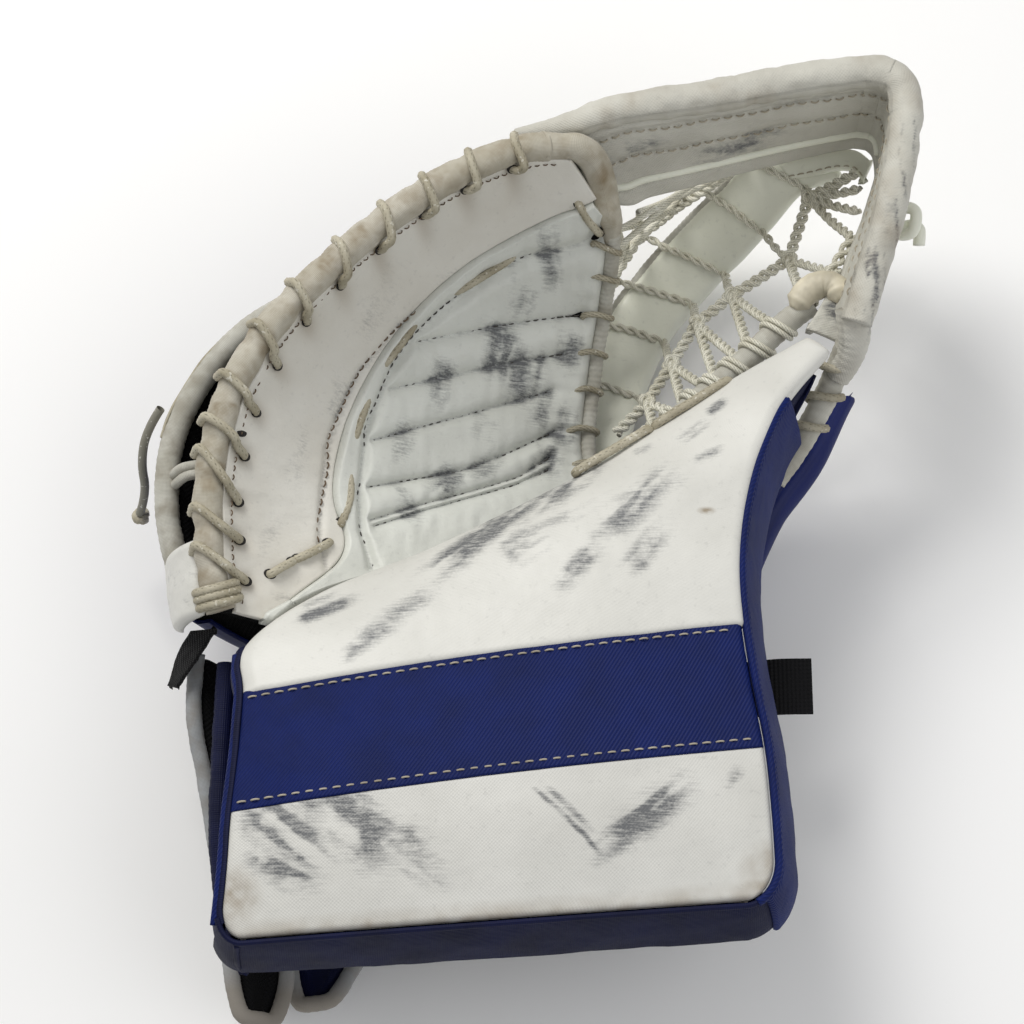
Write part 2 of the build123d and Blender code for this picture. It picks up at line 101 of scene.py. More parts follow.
BACKHAND = [
    ((-115, -44, 68), (-2, -56, 24)),
    ((-125, -8, 77), (-6, -22, 20)),
    ((-121, 27, 84), (-2, 10, 18)),
    ((-98, 60, 89), (4, 40, 18)),
    ((-60, 86, 83), (10, 66, 19)),
    ((-14, 117, 76), (14, 86, 26)),
    ((16, 130, 70), (20, 104, 40)),
]
BACKHAND_RISE = [-26, -28, -28, -26, -22, -14, -8]
T_STRAP = [
    ((24, 36, 14), (42, 33, 14)),
    ((28, 60, 12), (46, 56, 12)),
    ((40, 101, 10), (61, 95, 10)),
    ((57, 125, 14), (80, 118, 14)),
    ((72, 138, 26), (91, 125, 26)),
    ((85, 145, 42), (102, 132, 41)),
    ((96, 151, 55), (115, 142, 54)),
    ((113, 154, 57), (129, 146, 57)),
]
FINGER_WALL = [
    ((-3, 140, 98), (3, 136, 91)),
    ((20, 139.5, 108), (41, 128.5, 69)),
    ((41, 142.5, 116), (55, 134, 65)),
    ((71, 147, 117), (81, 143, 63)),
    ((106, 154, 117), (110, 151, 64)),
    ((131, 158, 117), (131, 155, 66)),
]
CORNER = [
    ((136, 158.5, 117), (136, 155.5, 66)),
    ((144, 157, 117), (142, 154, 66)),
    ((149, 151, 117), (146, 149, 66)),
    ((150, 141, 116), (147, 140, 66)),
]
THUMB_WALL = [
    ((149, 135, 116), (146, 134, 66)),
    ((146, 118, 115), (141, 119, 66)),
    ((141, 97, 113), (135, 105, 67)),
    ((135, 78, 109), (130, 90, 69)),
    ((129, 59, 103), (126, 76, 73)),
]
THUMB_PAD = [
    ((8, -46, 22), (84, -28, 42)),
    ((28, -18, 18), (98, 6, 48)),
    ((52, 6, 20), (115, 30, 54)),
    ((82, 32, 36), (128, 51, 60)),
]
THUMB_PAD_RISE = [-12, -14, -12, -6]
OUTER_FLAP = [
    ((-115, -56, 56), (-96, -59, 40)),
    ((-116, -78, 51), (-95, -80, 36)),
    ((-111, -104, 46), (-91, -108, 32)),
    ((-105, -138, 40), (-86, -142, 29)),
    ((-101, -168, 36), (-84, -170, 29)),
    ((-97, -187, 34), (-88, -188, 31)),
]
BACK_FLAP = [
    ((-88, -66, 24), (-20, -70, 14)),
    ((-90, -100, 18), (-24, -100, 13)),
    ((-86, -135, 16), (-40, -135, 13)),
    ((-81, -163, 17), (-60, -163, 15)),
    ((-77, -179, 20), (-69, -178, 20)),
]
LINER = [
    ((-106, -62, 64), (6, -62, 62)),
    ((-107, -95, 63), (6, -95, 61)),
    ((-107, -130, 61), (4, -130, 59)),
    ((-102, -165, 57), (0, -162, 56)),
]
BREAK = [
    ((-86, -45, 60), (-78, -60, 60)),
    ((-58, -27, 47), (-50, -48, 50)),
    ((-30, -14, 38), (-22, -36, 44)),
    ((-2, 1, 26), (6, -20, 40)),
    ((16, 13, 15), (27, -7, 33)),
]
KEEPER = [
    ((-114, -50, 88), (-124, -49, 66)),
    ((-116, -38, 90), (-127, -36, 67)),
    ((-117, -26, 92), (-128, -25, 69)),
]
HOOK_TAB = [
    ((-110, -52, 74), (-120, -50, 66)),
    ((-116, -60, 68), (-125, -57, 61)),
    ((-125, -70, 58), (-129, -68, 55)),
]
STRAP_LINE = [(-16, -72, 9), (14, -71, 12), (42, -70, 28), (62, -70, 47), (73, -70, 53)]
TAIL_LINE = [(86.5, -70, 55), (98, -69, 56), (112, -68, 54)]
THUMB_ROLL = [(54, 30, 60), (72, 44, 66), (89, 58, 70), (105, 72, 75), (115, 79, 78)]
THUMB_LACE = [(24, 6, 85.5), (38, 14.5, 86), (55, 25, 87.5), (70, 34, 89.5), (82, 41.5, 91.5)]
THUMB_BINDING = [(127, 57, 87), (124, 51, 78), (118, 40, 70), (110, 27, 63), (100, 14, 58)]
STALLS = [
    ((-92, -6, 52), (-85, 22, 60)),
    ((-72, -4, 38), (-66, 38, 47)),
    ((-51, -4, 28), (-46, 34, 30.5)),
    ((-31, -6, 24), (-26, 34, 26)),
]
THUMB_STALL = [(20, -38, 54), (56, -12, 56), (88, 14, 59)]
TAIL_ROUTE = [(-132, 31, 87), (-138, 25, 80), (-141, 17, 67), (-140, 11, 53), (-144, 8, 39)]
RUNGS = [
    ((23, 76, 14), (53, 54.5, 40)),
    ((30, 99, 15), (63, 72, 38)),
    ((40, 119, 16), (73.5, 90, 38)),
    ((52, 136, 24), (87.5, 101, 40)),
    ((72, 149, 42), (110, 114, 46)),
    ((89, 154, 57), (118, 136.5, 56)),
]
RUNG_S = [0.19, 0.28, 0.37, 0.5, 0.7, 0.87]


# ---------------------------------------------------------------- curves and panels
def smooth(values, s):
    """Values of a curve through all the rows, at an array of shares s."""
    v = np.asarray(values, float)
    s = np.clip(np.asarray(s, float), 0, 1)
    last = len(v) - 1
    place = s * last
    i = np.minimum(place.astype(int), last - 1)
    u = place - i
    if v.ndim > 1:
        u = u[..., None]
    before = np.concatenate([[v[0] * 2 - v[1]], v, [v[-1] * 2 - v[-2]]])
    p0, p1, p2, p3 = before[i], before[i + 1], before[i + 2], before[i + 3]
    return (
        p1 * 2 + (p2 - p0) * u + (p0 * 2 - p1 * 5 + p2 * 4 - p3) * u**2 + (p1 * 3 - p0 - p2 * 3 + p3) * u**3
    ) * 0.5


def unit(v):
    return v / np.maximum(np.linalg.norm(v, axis=-1, keepdims=True), 1e-9)


class Panel:
    """A curved panel: two edge curves, and a rise between them."""

    def __init__(self, rows, rise=0.0, facing=(0, 0, 1), taper=1.0):
        self.first = np.array([r[0] for r in rows], float)
        self.second = np.array([r[1] for r in rows], float)
        self.rise = np.array(rise if isinstance(rise, list) else [rise] * len(rows), float)
        self.taper = np.array(taper if isinstance(taper, list) else [taper] * len(rows), float)
        self.facing = np.array(facing, float)

    def frame(self, s):
        a, b = smooth(self.first, s), smooth(self.second, s)
        lo, hi = np.maximum(s - 0.01, 0), np.minimum(s + 0.01, 1)
        along = unit(smooth(self.first, hi) - smooth(self.first, lo))
        along = along + unit(smooth(self.second, hi) - smooth(self.second, lo))
        out = unit(np.cross(b - a, along))
        out = out * np.where((out @ self.facing) < 0, -1, 1)[..., None]
        return a, b, out, smooth(self.rise, s), smooth(self.taper, s), unit(along)

    def at(self, s, t, depth=0.0):
        """Points at shares s and t, and a depth above the face. Outside 0 to 1, t runs on in a straight line."""
        s, t, depth = np.broadcast_arrays(np.asarray(s, float), np.asarray(t, float), np.asarray(depth, float))
        a, b, out, rise, taper, along = self.frame(np.clip(s, 0, 1))
        span = b - a
        width = np.linalg.norm(span, axis=-1)
        inside = np.clip(t, 0, 1)
        slope = rise * 4 * (1 - 2 * inside) / width
        normal = unit(out - unit(span) * slope[..., None])
        across = np.cross(along, normal)
        across = unit(across * np.where((across * span).sum(-1) < 0, -1, 1)[..., None])
        p = a + span * inside[..., None] + out * (rise * 4 * inside * (1 - inside))[..., None]
        p = p + across * ((t - inside) * width)[..., None]
        beyond = (s - np.clip(s, 0, 1)) * self.length()
        p = p + unit(along) * beyond[..., None]
        return p + normal * (depth * taper)[..., None]

    def length(self):
        middle = (self.first + self.second) / 2
        return float(np.linalg.norm(np.diff(middle, axis=0), axis=1).sum())

    def width(self, s):
        return np.linalg.norm(smooth(self.second, s) - smooth(self.first, s), axis=-1)

    def past(self, s, t, distance, depth):
        """A point a number of mm across the panel from shares s and t."""
        return self.at(s, t + distance / self.width(s), depth)


def vertical(z):
    return np.array([0, 0, z])


def bell(distance, width):
    """1 on a line, and close to 0 two widths away from it."""
    return np.exp(-((distance / width) ** 2))


def run_along(points):
    """Length from the first point to each point."""
    return np.concatenate([[0], np.cumsum(np.linalg.norm(np.diff(points, axis=0), axis=1))])


def metres(points):
    return (np.asarray(points, float) - CENTRE) / 1000.0


def line(points, step=1.0):
    """Evenly spaced points on the curve through these points."""
    v = np.asarray(points, float)
    dense = smooth(v, np.linspace(0, 1, 60 * len(v)))
    run = run_along(dense)
    count = max(int(run[-1] / step), 3)
    want = np.linspace(0, run[-1], count)
    return np.stack([np.interp(want, run, dense[:, k]) for k in range(3)], axis=1)


# ---------------------------------------------------------------- noise for dents, creases and dirt
def lattice(ix, iy, seed):
    h = (ix * 374761393 + iy * 668265263 + seed * 974634777) & 0x7FFFFFFF
    h = ((h ^ (h >> 13)) * 1274126177) & 0x7FFFFFFF
    return ((h ^ (h >> 16)) & 0xFFFF) / 65535.0


def noise(x, y, seed=0):
    """Smooth noise from 0 to 1, one cell to the unit."""
    x, y = np.asarray(x, float), np.asarray(y, float)
    ix, iy = np.floor(x).astype(np.int64), np.floor(y).astype(np.int64)
    u, v = x - ix, y - iy
    u, v = u * u * (3 - 2 * u), v * v * (3 - 2 * v)
    a, b = lattice(ix, iy, seed), lattice(ix + 1, iy, seed)
    c, d = lattice(ix, iy + 1, seed), lattice(ix + 1, iy + 1, seed)
    return (a * (1 - u) + b * u) * (1 - v) + (c * (1 - u) + d * u) * v


def fractal(x, y, seed=0):
    """Four layers of noise, each twice as fine and half as strong as the one before, from 0 to 1."""
    total, size, norm = 0.0, 1.0, 0.0
    for k in range(4):
        total = total + noise(x * 2**k, y * 2**k, seed + k * 17) * size
        norm += size
        size *= 0.5
    return total / norm


def dents(scale, seed, height):
    """Relief of soft dents, scale mm across and height mm from lowest to highest."""
    return lambda s, t, x, y: (fractal(x / scale, y / scale, seed) - 0.5) * height


def stroke_marks(x, y, strokes, seed=3):
    """Darkness of scuffs: each stroke is (start x, y, end x, y, width, strength), drawn as broken fine streaks."""
    dark = np.zeros_like(x)
    for k, (x0, y0, x1, y1, width, strength) in enumerate(strokes):
        dx, dy = x1 - x0, y1 - y0
        length = math.hypot(dx, dy)
        along = ((x - x0) * dx + (y - y0) * dy) / length
        side = ((y - y0) * dx - (x - x0) * dy) / length
        side = side + (fractal(along / 20, side / 14, seed + k) - 0.5) * 3
        ends = np.clip(along / (0.22 * length), 0, 1) * np.clip((length - along) / (0.35 * length), 0, 1)
        body = np.clip(1 - (side / (width * 0.68)) ** 2, 0, 1) * ends
        streak = noise(side / 2.4, along / 22, seed + k * 3) * 0.6 + noise(side / 4.5, along / 30, k) * 0.4
        patch = fractal(x / 8, y / 8, seed + k * 5)
        dark = np.maximum(dark, body * np.clip((streak + patch * 0.8 - 0.48) * 1.9, 0, 1) * strength)
    return dark


def polyline_distance(x, y, points):
    """Distance from each point in plan to a bent line."""
    best = np.full(np.shape(x), 1e9)
    for (x0, y0), (x1, y1) in zip(points, points[1:]):
        dx, dy = x1 - x0, y1 - y0
        u = np.clip(((x - x0) * dx + (y - y0) * dy) / (dx * dx + dy * dy + 1e-9), 0, 1)
        best = np.minimum(best, np.hypot(x - x0 - dx * u, y - y0 - dy * u))
    return best


# ---------------------------------------------------------------- materials
class Shading:
    """A material, with the nodes that feed its main shader."""

    def __init__(self, name):
        self.material = bpy.data.materials.new(name)
        self.material.use_nodes = True
        self.tree = self.material.node_tree
        self.inputs = self.tree.nodes["Principled BSDF"].inputs
        coords = self.node("TexCoord")
        self.here, self.uv = coords.outputs["Object"], coords.outputs["UV"]

    def node(self, kind, **inputs):
        node = self.tree.nodes.new("ShaderNode" + kind)
        for key, value in inputs.items():
            self.feed(node.inputs[key.replace("_", " ")], value)
        return node

    def feed(self, socket, value):
        """Set an input to a number or a colour, or link it to another node's output."""
        if isinstance(value, bpy.types.NodeSocket):
            self.tree.links.new(value, socket)
        elif isinstance(value, tuple) and socket.type == "RGBA":
            socket.default_value = (*value[:3], 1)
        else:
            socket.default_value = value

    def mark(self, name):
        """A value per vertex that the mesh carries."""
        node = self.node("Attribute")
        node.attribute_name = name
        return node.outputs["Fac"]

    def mix(self, factor, a, b):
        node = self.node("Mix")
        node.data_type = "RGBA"
        for k, value in ((0, factor), (6, a), (7, b)):
            self.feed(node.inputs[k], value)
        return node.outputs[2]

    def math(self, kind, a, b):
        node = self.node("Math")
        node.operation = kind
        self.feed(node.inputs[0], a)
        self.feed(node.inputs[1], b)
        return node.outputs[0]

    def times(self, a, b):
        return self.math("MULTIPLY", a, b)

    def turned(self, vector, turn=0.0, stretch=(1.0, 1.0, 1.0)):
        node = self.node("Mapping", Vector=vector, Scale=stretch, Rotation=(0, 0, turn))
        return node.outputs["Vector"]

    def noise(self, scale, detail=3.0, rough=0.55, vector=None):
        node = self.node("TexNoise", Scale=scale, Detail=detail, Roughness=rough, Vector=vector or self.here)
        return node.outputs["Fac"]

    def wave(self, scale, turn):
        return self.node("TexWave", Scale=scale, Vector=self.turned(self.uv, turn)).outputs["Fac"]

    def ramp(self, value, low, high):
        node = self.node("MapRange", Value=value, From_Min=low, From_Max=high)
        node.clamp = True
        return node.outputs["Result"]

    def bump(self, height, strength, distance, normal=None):
        node = self.node("Bump", Strength=strength, Distance=distance, Height=height)
        if normal is not None:
            self.feed(node.inputs["Normal"], normal)
        return node.outputs["Normal"]

    def finish(self, base, normal, rough, **inputs):
        self.feed(self.inputs["Base Color"], base)
        self.feed(self.inputs["Normal"], normal)
        self.inputs["Roughness"].default_value = rough
        for key, value in inputs.items():
            self.inputs[key.replace("_", " ")].default_value = value
        return self.material


GRIME_BROWN = (0.23, 0.165, 0.09)
SCUFF_TURN = math.radians(-38)  # direction of the brushed streaks in a scuff


def leather(name, colour, shade, rough=0.5, grain=0.25, weave=0.0, dirt=(0.10, 0.105, 0.115), coat=0.0, creases=0.0):
    """Leather with a fine grain, faint blotches, and scuffs where the mesh's wear attribute says; on the finger and
    palm faces that attribute also carries painted shade along the seam and quilt grooves.
    """
    m = Shading(name)
    wear, grime = m.mark("wear"), m.mark("grime")
    base = m.mix(m.ramp(m.noise(26, 4), 0.35, 0.75), colour, shade)
    speck = m.ramp(m.noise(420, 2), 0.62, 0.75)
    base = m.mix(m.times(speck, 0.10), base, dirt)
    streaks = m.noise(1300, 3, 0.7, m.turned(m.here, SCUFF_TURN, (0.09, 1.0, 0.3)))
    brushed = m.math("ADD", m.times(streaks, 0.75), m.times(m.noise(1100, 1), 0.25))
    cut = m.math("SUBTRACT", brushed, m.math("SUBTRACT", 0.62, m.times(wear, 0.40)))
    scuffed = m.times(m.ramp(cut, -0.06, 0.30), m.ramp(wear, 0.02, 0.8))
    base = m.mix(m.times(scuffed, 0.92), base, dirt)
    base = m.mix(m.times(grime, 0.8), base, GRIME_BROWN)
    normal = m.bump(m.noise(900, 2), grain, 0.0003)
    if creases:
        fold = m.noise(75, 4, 0.6, m.turned(m.here, 0.0, (1.0, 2.2, 1.0)))
        normal = m.bump(fold, creases, 0.0016, normal)
    if weave:
        for turn in (math.pi / 4, -math.pi / 4):
            normal = m.bump(m.wave(330, turn), weave, 0.0002, normal)
    return m.finish(base, normal, rough, Coat_Weight=coat, Coat_Roughness=0.35, Specular_IOR_Level=0.3)


def fabric(name, colour, other, rib=0.0, angle=0.0, strength=0.5, rough=0.85, cross=False, dirt=None, sheen=0.05):
    """Woven or ribbed fabric: ribs every rib mm of the surface at an angle, or a weave of two sets of ribs."""
    m = Shading(name)
    base = m.mix(m.ramp(m.noise(60, 3), 0.35, 0.7), colour, other)
    normal = m.bump(m.noise(700, 2), 0.3, 0.0003)
    if rib:
        # Painted shade: in the troughs between the ribs the base colour is darkened towards the valley colour.
        valley_shade = tuple(c * 0.45 for c in other)
        for turn in (angle, angle + math.pi / 2)[: 2 if cross else 1]:
            wave = m.wave(1000 / rib * 0.05 * 6.2832, turn)
            normal = m.bump(wave, strength, rib * 0.0002, normal)
            base = m.mix(m.times(m.ramp(wave, 0.6, 0.0), 0.35), base, valley_shade)
    if dirt:
        spread = m.ramp(m.noise(130, 4), 0.42, 0.68)
        base = m.mix(m.math("MAXIMUM", m.times(spread, 0.5), m.mark("grime")), base, dirt)
    return m.finish(base, normal, rough, Sheen_Weight=sheen, Specular_IOR_Level=0.22)


def braid_material(name, colour, dark, fleck):
    """Waxed braided cord: the strands are in the mesh, and their valleys are painted darker, as painted shade."""
    m = Shading(name)
    base = m.mix(m.ramp(m.noise(90, 3), 0.38, 0.66), colour, dark)
    # Painted shade: where the strand value is low, between the strands, the colour is darkened towards a deep copy of
    # the dark colour.
    base = m.mix(m.ramp(m.mark("strand"), 0.55, 0.0), base, tuple(c * 0.35 for c in dark))
    base = m.mix(m.times(m.ramp(m.noise(600, 1), 0.66, 0.7), 0.6), base, fleck)
    return m.finish(base, m.bump(m.noise(1500, 2), 0.4, 0.0002), 0.62)


def plastic(name, colour, rough=0.45):
    m = Shading(name)
    lighter = tuple(min(c * 1.6 + 0.01, 1) for c in colour)
    base = m.mix(m.ramp(m.noise(80, 3), 0.4, 0.7), colour, lighter)
    return m.finish(base, m.bump(m.noise(1200, 2), 0.15, 0.0002), rough)


WHITE = leather("white leather", (0.71, 0.705, 0.665), (0.62, 0.615, 0.575), 0.45, 0.2, weave=0.10, coat=0.08)
WOVEN_WHITE = leather("woven white leather", (0.69, 0.685, 0.65), (0.60, 0.595, 0.56), 0.5, 0.2, weave=0.3)
CREAM = leather("cream leather", (0.75, 0.735, 0.68), (0.65, 0.625, 0.56), 0.45, 0.3, coat=0.08, creases=0.3)
PALM = leather("palm leather", (0.72, 0.735, 0.69), (0.62, 0.63, 0.585), 0.45, 0.3, creases=0.3, coat=0.1)
# Painted light: this white is brighter than the leather's own colour, to make up for the shade on the T strap deep in
# the pocket; the rim piping, rim knot, T strap top and break piece share it.
STRAP_WHITE_LIT = leather("strap leather lit", (0.86, 0.87, 0.76), (0.78, 0.79, 0.68), 0.38, 0.15, creases=0.12, coat=0.15)
RIM_WHITE = leather("rim leather", (0.61, 0.60, 0.54), (0.48, 0.465, 0.41), 0.55, 0.3, weave=0.35, creases=0.25)
BLUE = fabric("blue ribbed fabric", (0.0006, 0.0105, 0.112), (0.0004, 0.0075, 0.078), 1.2, math.radians(52), 0.8, 0.6,
              sheen=0.0)
BLUE_PAD = leather("blue leather", (0.001, 0.0085, 0.105), (0.0007, 0.006, 0.075), 0.5, 0.4, dirt=(0.03, 0.035, 0.06))
NAVY = fabric("navy nylon", (0.002, 0.005, 0.045), (0.001, 0.003, 0.026), 0.8, 0.0, 0.5, 0.6, True, sheen=0.0)
BLACK = fabric("black mesh", (0.004, 0.004, 0.005), (0.002, 0.002, 0.0025), 1.4, math.pi / 4, 0.8, 0.9, True, sheen=0.0)
WEBBING = fabric("black webbing", (0.006, 0.006, 0.007), (0.003, 0.003, 0.004), 1.6, 0.0, 0.9, 0.8, True, sheen=0.0)
HOOKS = fabric("black hook fabric", (0.012, 0.012, 0.013), (0.006, 0.006, 0.007), 1.0, 0.6, 0.9, 0.95, True, sheen=0.1)
TAPE = fabric("binding tape", (0.63, 0.60, 0.52), (0.50, 0.465, 0.375), 0.5, 0.0, 0.3, 0.75, True,
              (0.235, 0.185, 0.115))
WHITE_TAPE = fabric("white tape", (0.64, 0.63, 0.57), (0.53, 0.52, 0.455), 0.5, 0.0, 0.3, 0.75, True,
                    (0.24, 0.21, 0.16))
GREY_TAPE = fabric("grey tape", (0.42, 0.435, 0.45), (0.33, 0.34, 0.35), 0.5, 0.0, 0.3, 0.8, True, (0.25, 0.22, 0.18))
LACING = braid_material("waxed lace", (0.47, 0.435, 0.335), (0.33, 0.295, 0.21), (0.70, 0.68, 0.60))
# Painted light: the cord colour is brighter than its own cream, to make up for the shade on the net deep in the pocket.
NETTING_LIT = braid_material("net cord lit", (0.80, 0.785, 0.68), (0.66, 0.635, 0.52), (0.88, 0.87, 0.80))
DARK_THREAD = fabric("dark thread", (0.11, 0.105, 0.095), (0.06, 0.055, 0.05), sheen=0)
TAN_THREAD = fabric("tan thread", (0.50, 0.46, 0.37), (0.36, 0.32, 0.25), sheen=0)
BROWN_THREAD = fabric("brown thread", (0.17, 0.12, 0.08), (0.10, 0.07, 0.045), sheen=0)
AMBER = plastic("yellowed plastic", (0.50, 0.46, 0.36), 0.55)
HOLE = plastic("lace hole", (0.012, 0.010, 0.009), 0.9)
HARD = plastic("black plastic", (0.010, 0.010, 0.011), 0.4)


# ---------------------------------------------------------------- mesh building
def add_object(name, data):
    obj = bpy.data.objects.new(name, data)
    bpy.context.scene.collection.objects.link(obj)
    return obj


def build(name, verts, faces, material, body, uv=None, attributes=None):
    """A mesh in metres from points in mm, riding on a body."""
    mesh = bpy.data.meshes.new(name)
    mesh.from_pydata(metres(verts).tolist(), [], [list(map(int, f)) for f in faces])
    mesh.update()
    obj = add_object(name, mesh)
    if uv is not None:
        layer = mesh.uv_layers.new(name="UVMap")
        loops = np.zeros(len(mesh.loops), int)
        mesh.loops.foreach_get("vertex_index", loops)
        layer.data.foreach_set("uv", (np.asarray(uv, float) / 1000)[loops].astype(np.float32).ravel())
    for key, values in (attributes or {}).items():
        attribute = mesh.attributes.new(key, "FLOAT", "POINT")
        attribute.data.foreach_set("value", np.asarray(values, np.float32).ravel())
    mesh.polygons.foreach_set("use_smooth", [True] * len(mesh.polygons))
    mesh.materials.append(material)
    if body:
        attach(obj, body)
    return obj


def grid_faces(rows, columns, offset=0, wrap=False):
    i, j = np.meshgrid(np.arange(rows - 1), np.arange(columns if wrap else columns - 1), indexing="ij")
    right = (j + 1) % columns if wrap else j + 1
    a, b = i * columns + j, i * columns + right
    c, d = (i + 1) * columns + right, (i + 1) * columns + j
    return (np.stack([a, b, c, d], -1) + offset).reshape(-1, 4)


def grid_uv(points):
    """Uv in mm, measured along the middle column and the middle row of a grid of points."""
    rows, columns = points.shape[:2]
    u, v = run_along(points[:, columns // 2]), run_along(points[rows // 2])
    return np.stack([np.repeat(u[:, None], columns, 1), np.repeat(v[None], rows, 0)], -1).reshape(-1, 2)


def grid_marks(wear, grime, s, t, x, y):
    """Wear and grime of a grid, from functions of its shares and its place in plan, or none."""
    marks = (("wear", wear), ("grime", grime))
    return {key: mark(s, t, x, y) if mark else np.zeros_like(x) for key, mark in marks}


def limit(value, s):
    """A side of a region: a share, a list of them along the panel, or a function."""
    if callable(value):
        return value(s)
    return smooth(value, s) if isinstance(value, list) else np.full(len(s), float(value))


def edge_profile(radius, wrap, step=1.2):
    """Offsets (inward from the edge, drop) from the start of the rounding to the wrap's end."""
    out = []
    if radius > 0:
        for k in range(1, 7):
            a = math.radians(15 * k)
            out.append((radius * (1 - math.sin(a)), radius * (1 - math.cos(a))))
    count = max(int(wrap / step), 1) if wrap > 0 else 0
    for k in range(count):
        out.append((0.0, radius + wrap * (k + 1) / count))
    return out


def skin(name, panel, material, body, s=(0, 1), t=(0, 1), top=0.0, thick=1.4, edges=(None, None, None, None),
         step=1.0, relief=None, wear=None, grime=None, sign=1):
    """A leather or fabric face on a panel, rounded and wrapped down at its edges.

    edges are (radius, wrap) or None for start, end, first and second; t's ends may be lists along the panel.
    """
    length = panel.length() * (s[1] - s[0])
    none = (0.0, 0.0)
    start, end, first, second = (e or none for e in edges)
    inner = max(int(length / step), 4)
    profile = edge_profile(*start)
    total = panel.length()
    us = [(s[0] + inset / total, drop) for inset, drop in reversed(profile)] if profile else [(s[0], 0.0)]
    lo, hi = s[0] + start[0] / total, s[1] - end[0] / total
    us += [(v, 0.0) for v in np.linspace(lo, hi, inner)][(0 if profile else 1):]
    us += [(s[1] - inset / total, drop) for inset, drop in edge_profile(*end)]
    sv = np.array([u[0] for u in us])
    sdrop = np.array([u[1] for u in us])
    t0, t1 = (limit(v, sv) for v in t)
    width = panel.width(np.clip(sv, 0, 1))
    columns = max(int(float(np.max(width * (t1 - t0))) / step), 4)
    left, right = edge_profile(*first), edge_profile(*second)
    grid_t, grid_d = [], []
    for inset, drop in reversed(left):
        grid_t.append(t0 + inset / width)
        grid_d.append(np.full(len(sv), drop))
    a, b = t0 + first[0] / width, t1 - second[0] / width
    for k in range(columns):
        grid_t.append(a + (b - a) * k / (columns - 1))
        grid_d.append(np.zeros(len(sv)))
    for inset, drop in right:
        grid_t.append(t1 - inset / width)
        grid_d.append(np.full(len(sv), drop))
    tt, dd = np.stack(grid_t, 1), np.stack(grid_d, 1)
    ss = np.repeat(sv[:, None], tt.shape[1], 1)
    depth = -np.maximum(dd, sdrop[:, None])
    plan = panel.at(ss, tt, 0.0)
    x, y = plan[..., 0], plan[..., 1]
    if relief is not None:
        depth = depth + relief(ss, tt, x, y) * np.exp(-np.maximum(dd, sdrop[:, None]))
    points = panel.at(ss, tt, top + sign * depth)
    rows, cols = tt.shape
    uv = grid_uv(points)
    faces = grid_faces(rows, cols)
    q = points.reshape(-1, 3)
    f = faces[len(faces) // 2]
    normal = np.cross(q[f[1]] - q[f[0]], q[f[3]] - q[f[0]])
    outward = panel.at(0.5 * (s[0] + s[1]), 0.5, top + sign) - panel.at(0.5 * (s[0] + s[1]), 0.5, top)
    if np.dot(normal, outward) < 0:
        faces = faces[:, ::-1]
    obj = build(name, q, faces, material, None, uv, grid_marks(wear, grime, ss, tt, x, y))
    solid = obj.modifiers.new("thickness", "SOLIDIFY")
    solid.thickness, solid.offset = thick / 1000, -1
    if body:
        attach(obj, body)
    return obj


def pad(name, panel, material, body, s=(0, 1), t=(0, 1), top=0.0, bottom=-8.0, round_in=3.0, step=2.0,
        relief=None, wear=None, grime=None, inset=0.0):
    """A closed padded body between two depths of a panel, with rounded edges."""
    length = panel.length() * (s[1] - s[0])
    half = (top - bottom) / 2
    arc = [1 - math.cos(math.radians(15 * k)) for k in range(6)]
    n_s = max(int(length / step), 6)
    es = [round_in * a for a in arc]
    sv = np.array(es + list(np.linspace(round_in, length - round_in, n_s)) + [length - e for e in reversed(es)])
    gap_s = np.minimum(sv, length - sv)
    share = s[0] + (s[1] - s[0]) * sv / length
    w0 = panel.width(np.clip(share, 0, 1))
    t0, t1 = (limit(v, share) for v in t)
    t0, t1 = t0 + inset / w0, t1 - inset / w0
    wide = w0 * (t1 - t0)
    n_t = max(int(wide.max() / step), 6)
    edge = np.minimum(round_in, wide * 0.3)
    cols = [edge * a for a in arc]
    cols += [edge + (wide - 2 * edge) * k / (n_t - 1) for k in range(n_t)]
    cols += [wide - edge * a for a in reversed(arc)]
    ev = np.stack(cols, 1)
    gap_t = np.minimum(ev, wide[:, None] - ev) / edge[:, None]
    q = np.hypot(np.clip(1 - gap_t, 0, 1), np.clip(1 - gap_s / round_in, 0, 1)[:, None])
    drop = half * (1 - np.sqrt(np.clip(1 - np.minimum(q, 1) ** 2, 0, 1)))
    tt = t0[:, None] + ev / w0[:, None]
    ss = np.repeat(share[:, None], tt.shape[1], 1)
    plan = panel.at(ss, tt, 0.0)
    x, y = plan[..., 0], plan[..., 1]
    lift = relief(ss, tt, x, y) if relief else 0.0
    upper = panel.at(ss, tt, top - drop + lift * (1 - np.minimum(q, 1)))
    lower = panel.at(ss, tt, bottom + drop)
    rows, cols_n = tt.shape
    verts = np.concatenate([upper.reshape(-1, 3), lower.reshape(-1, 3)])
    n = rows * cols_n
    faces = list(grid_faces(rows, cols_n)[:, ::-1]) + list(grid_faces(rows, cols_n, n))
    ring = [(0, j) for j in range(cols_n)] + [(i, cols_n - 1) for i in range(1, rows)]
    ring += [(rows - 1, j) for j in range(cols_n - 2, -1, -1)] + [(i, 0) for i in range(rows - 2, 0, -1)]
    index = [i * cols_n + j for i, j in ring]
    for a, b in zip(index, index[1:] + index[:1]):
        faces.append(np.array([a, b, b + n, a + n]))
    marks = {key: np.tile(values.ravel(), 2) for key, values in grid_marks(wear, grime, ss, tt, x, y).items()}
    obj = build(name, verts, faces, material, None, np.tile(grid_uv(upper), (2, 1)), marks)
    fix_normals(obj)
    if body:
        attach(obj, body)
    return obj


